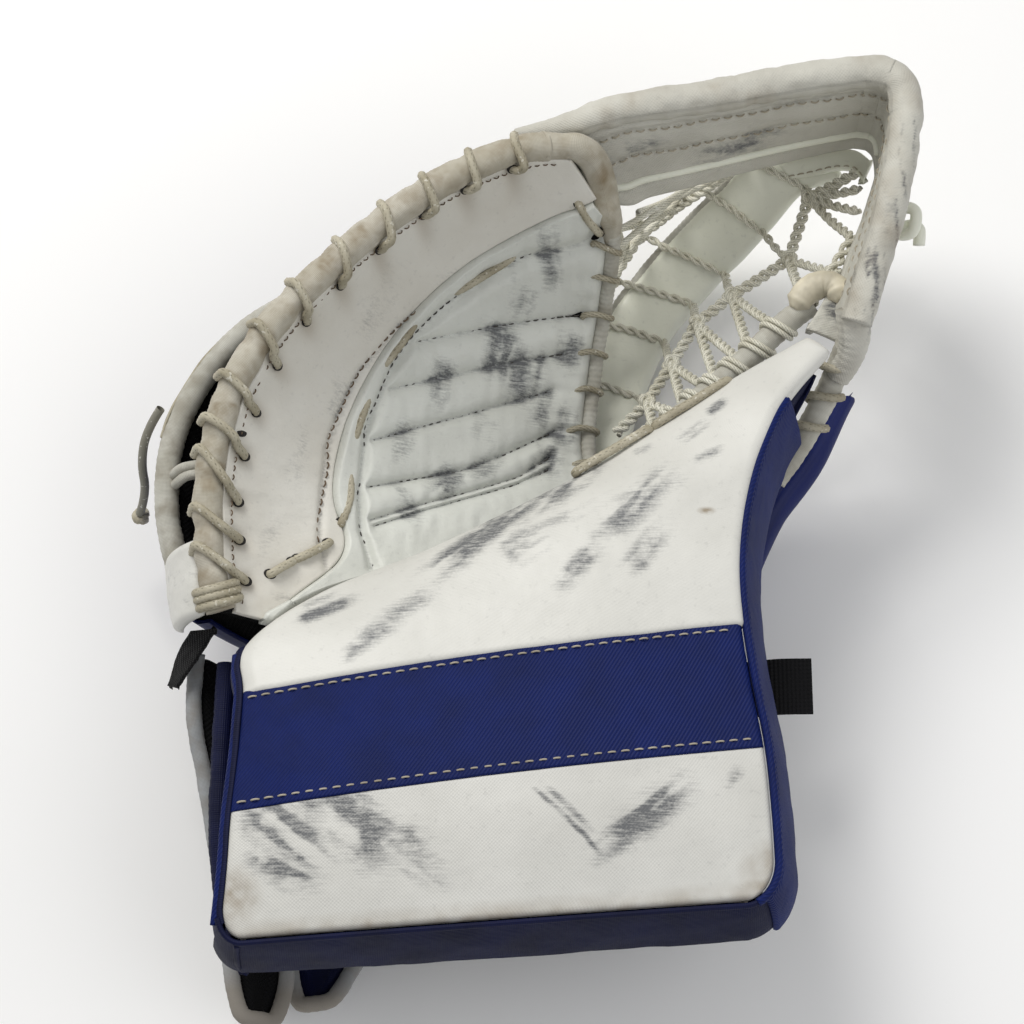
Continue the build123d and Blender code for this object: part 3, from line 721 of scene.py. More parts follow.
def fix_normals(obj):
    work = bmesh.new()
    work.from_mesh(obj.data)
    bmesh.ops.recalc_face_normals(work, faces=work.faces)
    work.to_mesh(obj.data)
    work.free()


def frames(points):
    """Side and up at each point, without twist."""
    tangent = unit(np.gradient(points, axis=0))
    side = np.cross(tangent[0], [0.31, 0.17, 0.93])
    sides = []
    for k in range(len(points)):
        side = side - tangent[k] * np.dot(side, tangent[k])
        side = side / np.linalg.norm(side)
        sides.append(side)
    sides = np.array(sides)
    return sides, np.cross(tangent, sides)


def tube_data(points, radius, around=16, shape=None):
    """Vertices, faces, uv and a value per vertex of a tube; shape(length along, angle) scales the radius."""
    points = np.asarray(points, float)
    side, up = frames(points)
    run = run_along(points)
    angle = np.linspace(0, 2 * math.pi, around, endpoint=False)
    rr = radius if np.ndim(radius) else np.full(len(points), float(radius))
    scale, value = (shape(run[:, None], angle[None]) if shape else (np.ones((len(points), around)),) * 2)
    ring = side[:, None] * np.cos(angle)[None, :, None] + up[:, None] * np.sin(angle)[None, :, None]
    verts = points[:, None] + ring * (np.asarray(rr)[:, None] * scale)[..., None]
    faces = [tuple(f) for f in grid_faces(len(points), around, 0, True)]
    verts = verts.reshape(-1, 3)
    uv = np.stack([np.repeat(run[:, None], around, 1), np.repeat((angle * np.mean(rr))[None], len(points), 0)], -1)
    value = np.broadcast_to(value, (len(points), around)).reshape(-1)
    faces.append(tuple(range(around))[::-1])
    faces.append(tuple(range((len(points) - 1) * around, len(points) * around)))
    return verts, faces, uv.reshape(-1, 2), value


def braid_shape(strands=3, pitch=5.5, depth=0.13):
    """Radius of a round braid: two sets of strands that wind opposite ways."""

    def shape(run, angle):
        k = 2 * math.pi / pitch
        one = np.cos(strands * angle + k * run) ** 2
        two = np.cos(strands * angle - k * run) ** 2
        value = np.maximum(one, two)
        return 1 - depth + depth * 1.15 * value, value

    return shape


def join(parts):
    """Several (verts, faces, uv, value) as one."""
    verts, faces, uvs, values, n = [], [], [], [], 0
    for v, f, u, w in parts:
        faces += [tuple(int(i) + n for i in g) for g in f]
        verts.append(v)
        uvs.append(u)
        values.append(w)
        n += len(v)
    return np.concatenate(verts), faces, np.concatenate(uvs), np.concatenate(values)


def tubes(name, paths, radius, material, body, shape=None, around=14, step=0.8, grime=None, wear=None):
    """One object of several tubes. Each path is a list of points that the tube passes through."""
    parts = []
    for path in paths:
        points = line(path, step)
        parts.append(tube_data(points, radius, around, shape))
    verts, faces, uv, value = join(parts)
    marks = grime(verts) if grime else np.zeros(len(verts))
    scuffs = wear(verts) if wear else np.zeros(len(verts))
    return build(name, verts, faces, material, body, uv, {"strand": value, "grime": marks, "wear": scuffs})


def lace_turn(centre, along, up, radius, sweep, count, shift=0.0, pitch=0.0):
    """Points of part of a turn of lace round a centre, that leans along by pitch."""
    side = np.cross(along, up)
    return [centre + (up * math.cos(a) + side * math.sin(a)) * radius + along * (shift + pitch * a)
            for a in np.linspace(-sweep, sweep, count)]


def tapered(name, path, shares, radii, material, body, shape, around, step=0.7, **marks):
    """A tube whose radius follows radii at shares of its length. Marks are values worked out from its points."""
    points = line(path, step)
    radius = np.interp(np.linspace(0, 1, len(points)), shares, radii)
    verts, faces, uv, _ = tube_data(points, radius, around, shape)
    return build(name, verts, faces, material, body, uv, {key: mark(verts) for key, mark in marks.items()})


def stitches(name, lines, material, body, length=3.2, gap=1.6, radius=0.42, lift=0.25):
    """Sewn stitches along lines of (points, normals)."""
    parts = []
    for points, normals in lines:
        points, normals = np.asarray(points, float), np.asarray(normals, float)
        run = run_along(points)
        at = 0.5
        while at + length < run[-1]:
            want = np.linspace(at, at + length, 6)
            p = np.stack([np.interp(want, run, points[:, k]) for k in range(3)], 1)
            n = unit(np.stack([np.interp(want, run, normals[:, k]) for k in range(3)], 1))
            arch = np.array([-0.7, 0.45, 1, 1, 0.45, -0.7])[:, None]
            parts.append(tube_data(p + n * arch * (radius + lift) * 0.8, radius, 6))
            at += length + gap
    verts, faces, uv, _ = join(parts)
    return build(name, verts, faces, material, body, uv, {"grime": np.zeros(len(verts))})


def panel_line(panel, shares, depth=0.0):
    """Points and normals along a line of (s, t) shares of a panel."""
    v = np.array([(a, b, 0.0) for a, b in shares], float)
    dense = smooth(v, np.linspace(0, 1, 40 * len(v)))
    points = panel.at(dense[:, 0], dense[:, 1], depth)
    normals = unit(panel.at(dense[:, 0], dense[:, 1], depth + 1) - points)
    return points, normals


# ---------------------------------------------------------------- thumb and cuff board
ROOT, SPINE, FINGERS, WRAP = "thumb_cuff", "pocket_spine", "fingers", "wrist_wrap"
BOARD_SPANS = len(BOARD) - 1
board = Panel(BOARD, BOARD_RISE, taper=BOARD_TAPER)
shell = Panel(SHELL, SHELL_RISE)
backhand = Panel(BACKHAND, BACKHAND_RISE)
tee = Panel(T_STRAP)
thumb_back = Panel(THUMB_PAD, THUMB_PAD_RISE)

UPPER_SCUFFS = [
    (-38, -50, 36, 22, 12, 1.0), (-28, -44, 22, 8, 10, 0.95), (-14, -24, 26, 6, 16, 1.0), (8, -14, 40, 18, 14, 0.85),
    (30, -30, 64, 6, 13, 0.85), (40, -44, 62, -18, 11, 0.85), (12, -50, 36, -26, 10, 0.8), (34, -14, 70, -4, 8, 0.7),
    (-82, -60, -52, -46, 6, 0.95), (-78, -54, -58, -44, 5, 0.8), (-66, -76, -36, -56, 9, 0.8),
                (-50, -62, -24, -44, 9, 0.7),
    (60, 12, 76, 24, 6, 0.7), (66, 2, 80, 10, 5, 0.75), (-12, -34, 44, -6, 6, 0.6), (72, 24, 82, 31, 5, 0.9),
    (-4, -36, 14, -22, 14, 0.9), (24, -28, 50, -24, 6, 0.7), (44, 10, 56, 14, 5, 0.6), (-20, -30, 2, -12, 8, 0.8),
]
LOWER_SCUFFS = [
    (-98, -124, -58, -154, 20, 1.0), (-78, -118, -34, -152, 26, 1.0), (-62, -130, -20, -154, 16, 0.95),
    (-96, -142, -62, -160, 14, 0.9), (30, -144, 68, -116, 14, 0.95), (24, -150, 56, -132, 10, 0.85),
    (4, -118, 40, -154, 2.4, 1.0), (10, -120, 32, -142, 3.2, 0.8), (64, -110, 78, -98, 7, 0.95),
    (-44, -136, -16, -158, 12, 0.85), (72, -122, 84, -112, 6, 0.7), (-90, -112, -74, -128, 10, 0.7),
]


def board_wear(strokes, general=0.18):
    def wear(s, t, x, y):
        cloud = np.clip(fractal(x / 24, y / 24, 11) - 0.52, 0, 1) * 2.0 * fractal(x / 3.0 + y / 9, y / 3.0, 12)
        return np.clip(stroke_marks(x, y, strokes) + cloud * general, 0, 1)

    return wear


def lower_grime(s, t, x, y):
    edge = np.clip(1 - s * BOARD_SPANS / 0.28, 0, 1) * fractal(x / 5, y / 5, 4)
    corner = np.clip(1 - np.hypot(x - 92, y + 152) / 14, 0, 1) + np.clip(1 - np.hypot(x + 98, y + 160) / 12, 0, 1)
    return np.clip(edge * 0.9 + corner * fractal(x / 3, y / 3, 6) * 1.3, 0, 1)


def upper_grime(s, t, x, y):
    spot = np.clip(1 - np.hypot((x - 71) / 4, (y + 17) / 1.8), 0, 1)
    return np.clip(spot * fractal(x / 1.5, y / 1.5, 2) * 2.0, 0, 1)


def board_dents(s, t, x, y):
    return (fractal(x / 32, y / 32, 21) - 0.5) * 1.6 + (fractal(x / 9, y / 9, 22) - 0.5) * 0.35


CORNER_RADIUS = 11.0  # of the board's two outer corners, in mm
END_SCALE = 225.0  # mm of the board's outer end to one share along it


def corner_inset(s):
    d = np.clip(CORNER_RADIUS - s * END_SCALE, 0, CORNER_RADIUS)
    return CORNER_RADIUS - np.sqrt(np.maximum(CORNER_RADIUS**2 - d**2, 0))


def corner_low(s):
    return corner_inset(s) * 0.8 / board.width(s)


def corner_high(s):
    return 1 - corner_inset(s) / board.width(s)


band_low, band_high = 2 / BOARD_SPANS, 4 / BOARD_SPANS
upper = skin("cuff_upper_leather", board, WHITE, ROOT, s=(band_high - 0.001, 1),
             edges=((1.2, 1.0), (3, 8), (6, 13), (2.5, 4)), step=0.75, relief=board_dents,
             wear=board_wear(UPPER_SCUFFS), grime=upper_grime)
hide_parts("cuff_face_upper")
band = skin("cuff_band_fabric", board, BLUE, ROOT, s=(band_low, band_high), top=0.5,
            edges=((0.8, 0.8), (0.8, 0.8), (3, 6), (2.5, 4)), step=1.2, relief=board_dents)
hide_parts("cuff_band")
lower = skin("cuff_lower_leather", board, WOVEN_WHITE, ROOT, s=(0, band_low + 0.001), t=(corner_low, corner_high),
             edges=((2.2, 3), (1.2, 1.0), (3, 6), (2.5, 4)), step=0.75, relief=board_dents,
             wear=board_wear(LOWER_SCUFFS, 0.3), grime=lower_grime)
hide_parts("cuff_face_lower")
core = pad("cuff_foam_core", board, NAVY, ROOT, s=(0.006, 0.985), t=(corner_low, corner_high), top=-2.0, bottom=-28.0,
           step=3.0, inset=1.6)
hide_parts("cuff_foam")
lining = skin("cuff_nylon_lining", board, NAVY, ROOT, s=(0.004, 0.985), top=-28.4, thick=1.2, edges=((1, 1),) * 4,
              step=2.5, relief=dents(12, 31, 1.2), sign=-1)
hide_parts("cuff_lining")

lines = []
for share in (band_low + 0.0115, band_high - 0.0125):
    lines.append(panel_line(board, [(share, 0.012 + 0.976 * k / 12) for k in range(13)], 0.55))
stitches("band_stitching", lines, TAN_THREAD, ROOT, length=3.0, gap=1.9, radius=0.36)


def edge_ring():
    """Points round the board's edge, from the thumb down the outer side, round the end and up the wrist side."""
    points, outs = [], []

    def add(p, out):
        points.append(p)
        outs.append(out / np.linalg.norm(out))

    down = unit(np.array([*(board.at(0.0, 0.5) - board.at(0.1, 0.5))[:2], 0]))
    for s in np.linspace(0.84, CORNER_RADIUS / END_SCALE, 26):
        along = board.at(max(s - 0.01, 0), 1.0) - board.at(min(s + 0.01, 1), 1.0)
        add(board.at(s, 1.0), np.array([-along[1], along[0], 0.0]))
    for k in range(1, 9):
        a = math.radians(90 * k / 9)
        s = CORNER_RADIUS * (1 - math.sin(a)) / END_SCALE
        right = np.array([-down[1], down[0], 0.0])
        add(board.at(s, float(corner_high(np.array([s]))[0])), right * math.cos(a) + down * math.sin(a))
    w = float(board.width(np.array([0.0]))[0])
    middle = len(points) - 4
    for k in range(13):
        add(board.at(0.0, 1 - CORNER_RADIUS / w - (1 - 1.8 * CORNER_RADIUS / w) * k / 12), down)
    for k in range(1, 9):
        a = math.radians(90 * (9 - k) / 9)
        s = CORNER_RADIUS * (1 - math.sin(a)) / END_SCALE
        left = np.array([down[1], -down[0], 0.0])
        add(board.at(s, float(corner_low(np.array([s]))[0])), left * math.cos(a) + down * math.sin(a))
    last = len(points) - 3
    for s in np.linspace(CORNER_RADIUS / END_SCALE, 0.45, 14):
        along = board.at(min(s + 0.01, 1), 0.0) - board.at(max(s - 0.01, 0), 0.0)
        add(board.at(s, 0.0), np.array([-along[1], along[0], 0.0]))
    return np.array(points), np.array(outs), middle, last


ring, ring_out, turn_one, turn_two = edge_ring()


def ring_panel(low, high, widen, bottom, drop=2.0, out=1.2):
    rows = []
    for k in range(low, high):
        top = ring[k] + ring_out[k] * out - vertical(drop)
        wide = widen[0] + (widen[1] - widen[0]) * (k - low) / max(high - 1 - low, 1)
        foot = ring[k] + ring_out[k] * wide
        foot[2] = bottom
        rows.append((tuple(top), tuple(foot)))
    return rows


side_panel = Panel(ring_panel(0, turn_one + 1, (9.0, 8.4), 69), 1.2, (1, 0, 0.2))
gusset = skin("cuff_side_gusset", side_panel, BLUE, ROOT, top=0.4, thick=1.6,
              edges=((1, 1), (0.4, 0), (1, 0), (1.5, 1)), step=1.2,
              relief=lambda s, t, x, y: (fractal(y / 14, t * 2, 41) - 0.5) * 1.2)
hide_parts("cuff_gusset_side")
end_panel = Panel(ring_panel(turn_one, turn_two + 1, (8.8, 6.0), 69), 1.0, (0, -1, 0.2))
end_gusset = skin("cuff_end_gusset", end_panel, NAVY, ROOT, top=0.2, thick=1.6,
                  edges=((0.4, 0), (0.4, 0), (1, 0), (2, 1)), step=1.2,
                  relief=lambda s, t, x, y: (fractal(x / 16, t * 2, 43) - 0.5) * 1.4)
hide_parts("cuff_gusset_end")
left_panel = Panel(ring_panel(turn_two, len(ring), (2.6, 1.6), 71, 2.0, 0.4), 1.0, (-1, 0, 0.1))
skin("cuff_left_gusset", left_panel, NAVY, ROOT, top=0.2, edges=((0.4, 0), (1, 1), (1, 0), (1, 1)), step=1.6,
     relief=lambda s, t, x, y: (fractal(y / 11, t * 2, 47) - 0.5) * 1.2)
piping_points = ring + ring_out * 1.6 - vertical(1.4)
tubes("cuff_edge_piping", [piping_points[: turn_one + 3]], 1.6, BLUE, ROOT, around=12, step=1.0)
tubes("cuff_end_piping", [piping_points[turn_one : turn_two + 2]], 1.1, NAVY, ROOT, around=10, step=1.0)
welt_line = [board.past(0.02 + 0.42 * k / 12, 0, -2.0, -3.0) for k in range(13)]
welt = tubes("cuff_welt_piping", [welt_line], 1.7, BLUE, ROOT, step=1.2)
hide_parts("cuff_welt")

# ---------------------------------------------------------------- finger shell: faces, binding and lacing
SEAM_OUTER = [(0.107, 0.93), (0.208, 0.491), (0.311, 0.364), (0.44, 0.309), (0.501, 0.33), (0.569, 0.353),
              (0.63, 0.408), (0.683, 0.484), (0.716, 0.539), (0.763, 0.65), (0.841, 0.738)]
SEAM_INNER = [(0.165, 0.878), (0.245, 0.593), (0.346, 0.447), (0.48, 0.415), (0.526, 0.43), (0.578, 0.444),
              (0.621, 0.472), (0.662, 0.519), (0.708, 0.593), (0.746, 0.684), (0.88, 0.983)]
QUILT = [((0.614, 0.493), (0.681, 0.949)), ((0.549, 0.459), (0.622, 0.921)), ((0.472, 0.436), (0.57, 0.911)),
         ((0.357, 0.466), (0.511, 0.929)), ((0.278, 0.572), (0.469, 0.917)), ((0.265, 0.607), (0.442, 0.906))]
LOOP_HOLES = [(0.881, 0.09), (0.822, 0.085), (0.776, 0.075), (0.73, 0.08), (0.682, 0.082), (0.628, 0.075),
              (0.561, 0.078), (0.484, 0.075), (0.392, 0.07), (0.275, 0.085), (0.18, 0.128), (0.077, 0.278)]
LOOP_OUTER = [0.925, 0.862, 0.812, 0.77, 0.727, 0.672, 0.61, 0.531, 0.46, 0.372, 0.225, 0.118]


def plan_of(panel, shares):
    p = np.array([panel.at(a, b) for a, b in shares])
    return [tuple(q[:2]) for q in p]


seam_outer_plan = plan_of(shell, SEAM_OUTER)
seam_inner_plan = plan_of(shell, SEAM_INNER)
quilt_plan = [plan_of(shell, [(a[0] + (b[0] - a[0]) * k / 4, a[1] + (b[1] - a[1]) * k / 4) for k in range(5)])
              for a, b in QUILT]
hole_plan = plan_of(shell, LOOP_HOLES)


def finger_relief(s, t, x, y):
    h = (fractal(x / 30, y / 30, 51) - 0.5) * 2.6
    along = s * 230
    h = h + (noise(along / 7, t * 3, 52) - 0.5) * 1.2 * np.clip(1 - t * 2.2, 0, 1)
    h = h - 1.4 * bell(polyline_distance(x, y, seam_outer_plan), 1.5)
    for hx, hy in hole_plan:
        h = h - 1.5 * np.exp(-(((x - hx) ** 2 + (y - hy) ** 2) / 22))
    return h


def palm_relief(s, t, x, y):
    h = (fractal(x / 18, y / 18, 61) - 0.5) * 1.6 + 0.8
    groove = np.zeros_like(x)
    for q in quilt_plan:
        groove = np.maximum(groove, np.exp(-np.abs(polyline_distance(x, y, q) / 2.0)))
    groove = np.maximum(groove, 0.9 * bell(polyline_distance(x, y, seam_inner_plan), 1.8))
    h = h + (noise(x / 3.2, y / 11, 62) - 0.5) * 0.8
    web = np.clip((t - 0.86) / 0.14, 0, 1) * np.clip((s - 0.36) * 8, 0, 1)
    h = h + (noise(x / 30, y / 2.6, 63) - 0.5) * 2.6 * web
    return h + 1.6 - 3.8 * groove - 1.5 * web


FINGER_SCUFFS = [(-60, 60, -40, 88, 6, 0.45), (-84, 0, -76, 30, 8, 0.4), (-30, 84, 4, 104, 7, 0.45),
                 (-70, 30, -62, 52, 7, 0.4),
                 (-96, -30, -84, -8, 6, 0.4), (-14, 88, 10, 96, 5, 0.4), (-56, 66, -50, 74, 8, 0.5),
                 (-90, -44, -70, -40, 6, 0.5)]
PALM_SCUFFS = [
    (-2, 84, -8, 58, 15, 1.0), (8, 80, 2, 50, 15, 1.0), (16, 64, 8, 42, 13, 0.95), (-24, 68, -32, 42, 11, 0.8),
    (24, 86, 20, 68, 11, 0.95), (16, 42, 10, 22, 13, 1.0), (-8, 50, -14, 34, 11, 0.7), (-40, 42, -46, 16, 9, 0.6),
    (-20, 26, -32, 8, 12, 0.8), (6, 98, 0, 82, 11, 0.7), (22, 58, 18, 36, 11, 1.0), (-48, 14, -34, -6, 10, 0.7),
    (12, 112, 16, 92, 9, 0.8), (-2, 34, -20, 18, 9, 0.7),
]


def finger_wear_and_seam_shade(s, t, x, y):
    haze = np.clip(fractal(x / 16, y / 16, 71) - 0.5, 0, 1) * 1.1 * fractal(x / 2.5, y / 2.5, 72)
    # Painted shade: the leather is darkened along the groove of the outer seam.
    seam_groove_shade = bell(polyline_distance(x, y, seam_outer_plan), 1.0) * 0.5
    return np.clip(stroke_marks(x, y, FINGER_SCUFFS, 9) + haze * 0.45 + seam_groove_shade, 0, 1)


def finger_grime(s, t, x, y):
    near = np.zeros_like(x)
    for hx, hy in hole_plan:
        near = np.maximum(near, np.exp(-(((x - hx) ** 2 + (y - hy) ** 2) / 12)))
    heel = np.clip(1 - s / 0.25, 0, 1) * fractal(x / 4, y / 4, 73) * 0.35
    return np.clip(near * 0.55 + heel, 0, 1)


def palm_wear_and_groove_shade(s, t, x, y):
    dark = stroke_marks(x, y, PALM_SCUFFS, 15)
    # Painted shade: on top of the real scuffs, the leather is darkened along the quilt grooves and the inner seam.
    groove = np.zeros_like(x)
    for q in quilt_plan:
        groove = np.maximum(groove, bell(polyline_distance(x, y, q), 1.0))
    groove = np.maximum(groove, bell(polyline_distance(x, y, seam_inner_plan), 0.8))
    return np.clip(dark + groove * 0.45, 0, 1)


lead = [3.2 / w for w in shell.width(np.linspace(0, 1, 11))]
finger_skin = skin("finger_leather", shell, CREAM, FINGERS, t=(lead, PALM_SEAM), top=0.3,
                   edges=((1.5, 2), (1.5, 2), None, (1.6, 1.0)), step=0.8, relief=finger_relief, wear=finger_wear_and_seam_shade,
                   grime=finger_grime)
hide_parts("finger_face")
palm_skin = skin("palm_leather", shell, PALM, FINGERS, s=(0, 0.955), t=(PALM_SEAM, 1), top=0.1,
                 edges=((1.5, 2), (1.5, 2), (1.4, 1.0), (4, 5)), step=0.7, relief=palm_relief, wear=palm_wear_and_groove_shade)
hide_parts("palm_face")
shell_core = pad("finger_foam_core", shell, BLACK, FINGERS, s=(0.004, 0.99), top=-2.2, bottom=-9.9, round_in=2.0,
                 step=3.0, inset=1.8)
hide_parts("finger_foam")
shell_lining = skin("palm_knit_lining", shell, BLACK, FINGERS, s=(0.004, 0.99), t=(0.02, 0.99), top=-10.3, thick=1.2,
                    edges=((1, 1),) * 4, step=2.5, relief=dents(9, 81, 1.2), sign=-1)
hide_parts("palm_lining")
binding_seam = [(s, 6.6 / float(shell.width(np.array([s]))[0])) for s in np.linspace(0.02, 0.97, 40)]
stitches("finger_binding_stitching", [panel_line(shell, binding_seam, 0.35)], BROWN_THREAD, FINGERS, length=2.0,
         gap=1.3, radius=0.26)
stitches("finger_seam_stitching", [panel_line(shell, SEAM_OUTER, -0.5)], BROWN_THREAD, FINGERS, length=2.4, gap=1.4,
         radius=0.32)
quilt_lines = [panel_line(shell, SEAM_INNER, -1.0)]
for a, b in QUILT:
    quilt_lines.append(panel_line(shell, [a, ((a[0] + b[0]) / 2, (a[1] + b[1]) / 2), b], -1.5))
quilt_lines.append(panel_line(shell, [(0.214, 0.727), (0.245, 0.785), (0.276, 0.843)], -0.2))
stitches("palm_quilt_stitching", quilt_lines, DARK_THREAD, FINGERS, length=2.2, gap=1.2, radius=0.3)

EDGE_DEPTH = -5.0  # of the middle of the bound edge, from the shell's face
along_edge = np.linspace(0, 1, 60)
edge_line = np.array([shell.at(s, 0.0, EDGE_DEPTH) for s in along_edge])
tip_line = [shell.at(*place) for place in ((0.955, 0.0, EDGE_DEPTH), (0.99, 0.0, EDGE_DEPTH), (1.02, 0.14, -4.0),
                                           (1.03, 0.45, -3.6), (1.018, 0.8, -3.6))]
tip_line += [shell.past(s, 1, distance, -3.6) for s, distance in ((0.985, 2.0), (0.94, 2.6), (0.89, 2.2), (0.84, 1.2))]
crossing = [0.5 * (a + b[0]) for a, b in zip(LOOP_OUTER, LOOP_HOLES)]
tight = np.interp(crossing, along_edge, run_along(edge_line))  # where the laces pull the binding in


def bound_shape(run, angle):
    pinch = np.zeros_like(run * angle)
    for at in tight:
        pinch = pinch + 0.14 * bell(run - at, 2.8)
    wobble = 0.12 * (noise(run / 5, angle * 1.1 + run * 0, 91) - 0.5)
    rib = 0.012 * np.cos(run * 2 * math.pi / 1.6)
    return 1 - pinch + wobble + rib, 1 - pinch


def binding_grime(v):
    x, y = v[:, 0], v[:, 1]
    spots = np.clip(fractal(x / 7, y / 7, 95) - 0.47, 0, 1) * 2.4
    return np.clip(spots * (0.4 + fractal(x / 1.5, y / 1.5, 96)), 0, 0.75)


binding = tubes("finger_binding_tape", [edge_line[::3]], BINDING / 2, TAPE, FINGERS, bound_shape, around=28, step=0.7,
                grime=binding_grime)
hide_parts("finger_binding")


def tip_shape(run, angle):
    return 1 + 0.12 * (noise(run / 5, angle * 0.8, 92) - 0.5), np.ones_like(run * angle)


tapered("finger_binding_tip", tip_line, [0, 0.15, 0.45, 0.75, 1], [5.7, 5.3, 5.6, 4.9, 2.6], TAPE, FINGERS,
        tip_shape, 28, grime=lambda v: binding_grime(v) * 1.3)

loops = []
for at, (hs, ht) in zip(LOOP_OUTER, LOOP_HOLES):
    hole = shell.at(hs, ht, 0.2)
    low = shell.at(hs, ht, -3.5)
    over = shell.at(hs * 0.45 + at * 0.55, 0.0, BINDING / 2 + LACE / 2 - 4.6)
    inner = shell.at(hs * 0.75 + at * 0.25, 4.6 / shell.width(hs), 2.0)
    outer = shell.past(at, 0, -(BINDING / 2 + LACE / 2 + 0.2), -4.0)
    under = shell.past(at, 0, -(BINDING / 2 - 1.5), -10.5)
    loops.append([low, hole + (inner - hole) * 0.15, inner, over, outer, under])
heel = edge_line[1]
heel_along = unit(edge_line[4] - edge_line[0])
heel_up = unit(shell.at(0.03, 0.0, 1.0) - shell.at(0.03, 0.0, 0.0))
for shift in (0.5, 3.6, 6.2):
    loops.append(lace_turn(heel, heel_along, heel_up, 7.7, 2.5, 9, shift, 0.5))
lacing = tubes("finger_lacing_cord", loops, LACE / 2, LACING, FINGERS, braid_shape(), around=16, step=0.5)
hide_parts("finger_lacing")

PALM_LACE = [((0.741, 0.632), (0.687, 0.53)), ((0.635, 0.448), (0.581, 0.413)), ((0.53, 0.397), (0.47, 0.38)),
             ((0.382, 0.385), (0.264, 0.484)), ((0.90, 0.70), (0.86, 0.93)), ((0.108, 0.445), (0.15, 0.48)),
             ((0.16, 0.485), (0.211, 0.522))]
stitch_paths = []
for a, b in PALM_LACE:
    m = ((a[0] + b[0]) / 2, (a[1] + b[1]) / 2)
    stitch_paths.append([shell.at(*a, -2.5), shell.at(*a, 1.0), shell.at(*m, 2.1), shell.at(*b, 1.0),
                         shell.at(*b, -2.5)])
palm_cord = tubes("palm_lacing_cord", stitch_paths, LACE / 2 - 0.1, LACING, FINGERS, braid_shape(), around=16, step=0.5)
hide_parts("palm_lacing")


def holes(name, spots, body, radius=2.4, stretch=1.35):
    """Dark puckered lace holes, a little sunk, at (point, normal, direction) spots."""
    parts = []
    for point, normal, along in spots:
        normal = unit(np.asarray(normal))
        along = unit(along - normal * np.dot(along, normal))
        side = np.cross(normal, along)
        ring = [point + (along * math.cos(a) * stretch + side * math.sin(a)) * radius * 0.8 - normal * 0.1
                for a in np.linspace(0, 2 * math.pi, 18, endpoint=False)]
        parts.append((np.array([point + normal * 0.12, *ring]), [(0, k + 1, (k + 1) % 18 + 1) for k in range(18)],
                      np.zeros((19, 2)), np.zeros(19)))
    verts, faces, uv, value = join(parts)
    obj = build(name, verts, faces, HOLE, None, uv, {"strand": value})
    solid = obj.modifiers.new("depth", "SOLIDIFY")
    solid.thickness, solid.offset = 0.0006, -1
    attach(obj, body)
    return obj


def shell_spot(s, t, depth=0.3):
    p = shell.at(s, t, depth)
    return p, shell.at(s, t, depth + 1) - p, shell.at(s, t + 0.02, depth) - p


spots = [shell_spot(s, t) for s, t in LOOP_HOLES] + [shell_spot(0.443, 0.043, 0.6)]
for a, b in PALM_LACE:
    spots += [shell_spot(*a), shell_spot(*b)]
holes("lace_holes", spots, FINGERS)

edge_shares = np.linspace(0.40, 0.905, 14)
web_edge = [shell.past(s, 1, 2.6, -3.2) for s in edge_shares]


def rolled_shape(run, angle):
    rib = 0.05 * np.cos(run * 2 * math.pi / 2.4)
    return 1 + rib + 0.12 * (noise(run / 7, angle * 0.7, 98) - 0.5), 1 + rib * 8


edge_tape = tubes("palm_edge_tape", [web_edge], 3.0, WHITE_TAPE, FINGERS, rolled_shape, around=18, step=0.6)
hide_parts("palm_edge_binding")
wraps = []
for s in (0.45, 0.514, 0.572, 0.627, 0.684, 0.75, 0.82):
    w = shell.width(s)
    a, b = shell.at(s, 1 - 5.5 / w, 0.2), shell.at(s + 0.006, 1 - 1.0 / w, 1.6)
    c, d = shell.at(s + 0.008, 1 + 5.8 / w, -1.0), shell.at(s + 0.004, 1 + 5.6 / w, -7.0)
    wraps.append([a - (b - a) * 0.2 - vertical(2.0), a, b, c, d])
tubes("palm_edge_lace", wraps, 1.25, LACING, FINGERS, braid_shape(), around=12, step=0.5)

# ---------------------------------------------------------------- pocket: T strap, net and thumb roll
tee_skin = skin("t_strap_leather", tee, STRAP_WHITE_LIT, SPINE, thick=2.6, edges=((1, 1), (1, 1), (0.8, 0.5), (1, 1)),
                step=0.8, relief=dents(12, 101, 1.0),
                wear=lambda s, t, x, y: np.clip(fractal(x / 5, y / 5, 102) - 0.58, 0, 1) * 0.7)
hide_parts("t_strap")
tee_edge = [tee.past(s, 0, -1.8, -0.8) for s in np.linspace(0, 1, 14)]
tee_tape = tubes("t_strap_ribbed_edge", [tee_edge], 2.4, WHITE_TAPE, SPINE, rolled_shape, around=16, step=0.6)
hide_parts("t_strap_binding")
stitches("t_strap_stitching", [panel_line(tee, [(k / 12, 0.87) for k in range(13)], 0.1),
                               panel_line(tee, [(k / 12, 0.10) for k in range(13)], 0.1)], TAN_THREAD, SPINE,
         length=2.4, gap=1.5, radius=0.3)
tee_top = Panel([((104, 153.5, 58), (111, 143.5, 56)), ((116, 154.5, 60), (120, 144.5, 58)),
                 ((126, 155, 62), (129, 146, 60)),
                 ((137, 153, 63), (136, 144, 62)), ((143, 147, 64), (139, 138, 64))], 0)
skin("t_strap_top_leather", tee_top, STRAP_WHITE_LIT, SPINE, top=2.4, thick=2.2, edges=((1, 1), (1, 1), (1, 0.5), (1.4, 1)),
     step=0.8, relief=dents(12, 103, 1.2))
stitches("t_strap_top_stitching", [panel_line(tee_top, [(k / 8, 0.84) for k in range(9)], 2.6)], TAN_THREAD, SPINE,
         length=2.2, gap=1.5, radius=0.3)

rung_ends = np.array(RUNGS, float)
finger_knots, thumb_knots = list(rung_ends[:, 0]), list(rung_ends[:, 1])


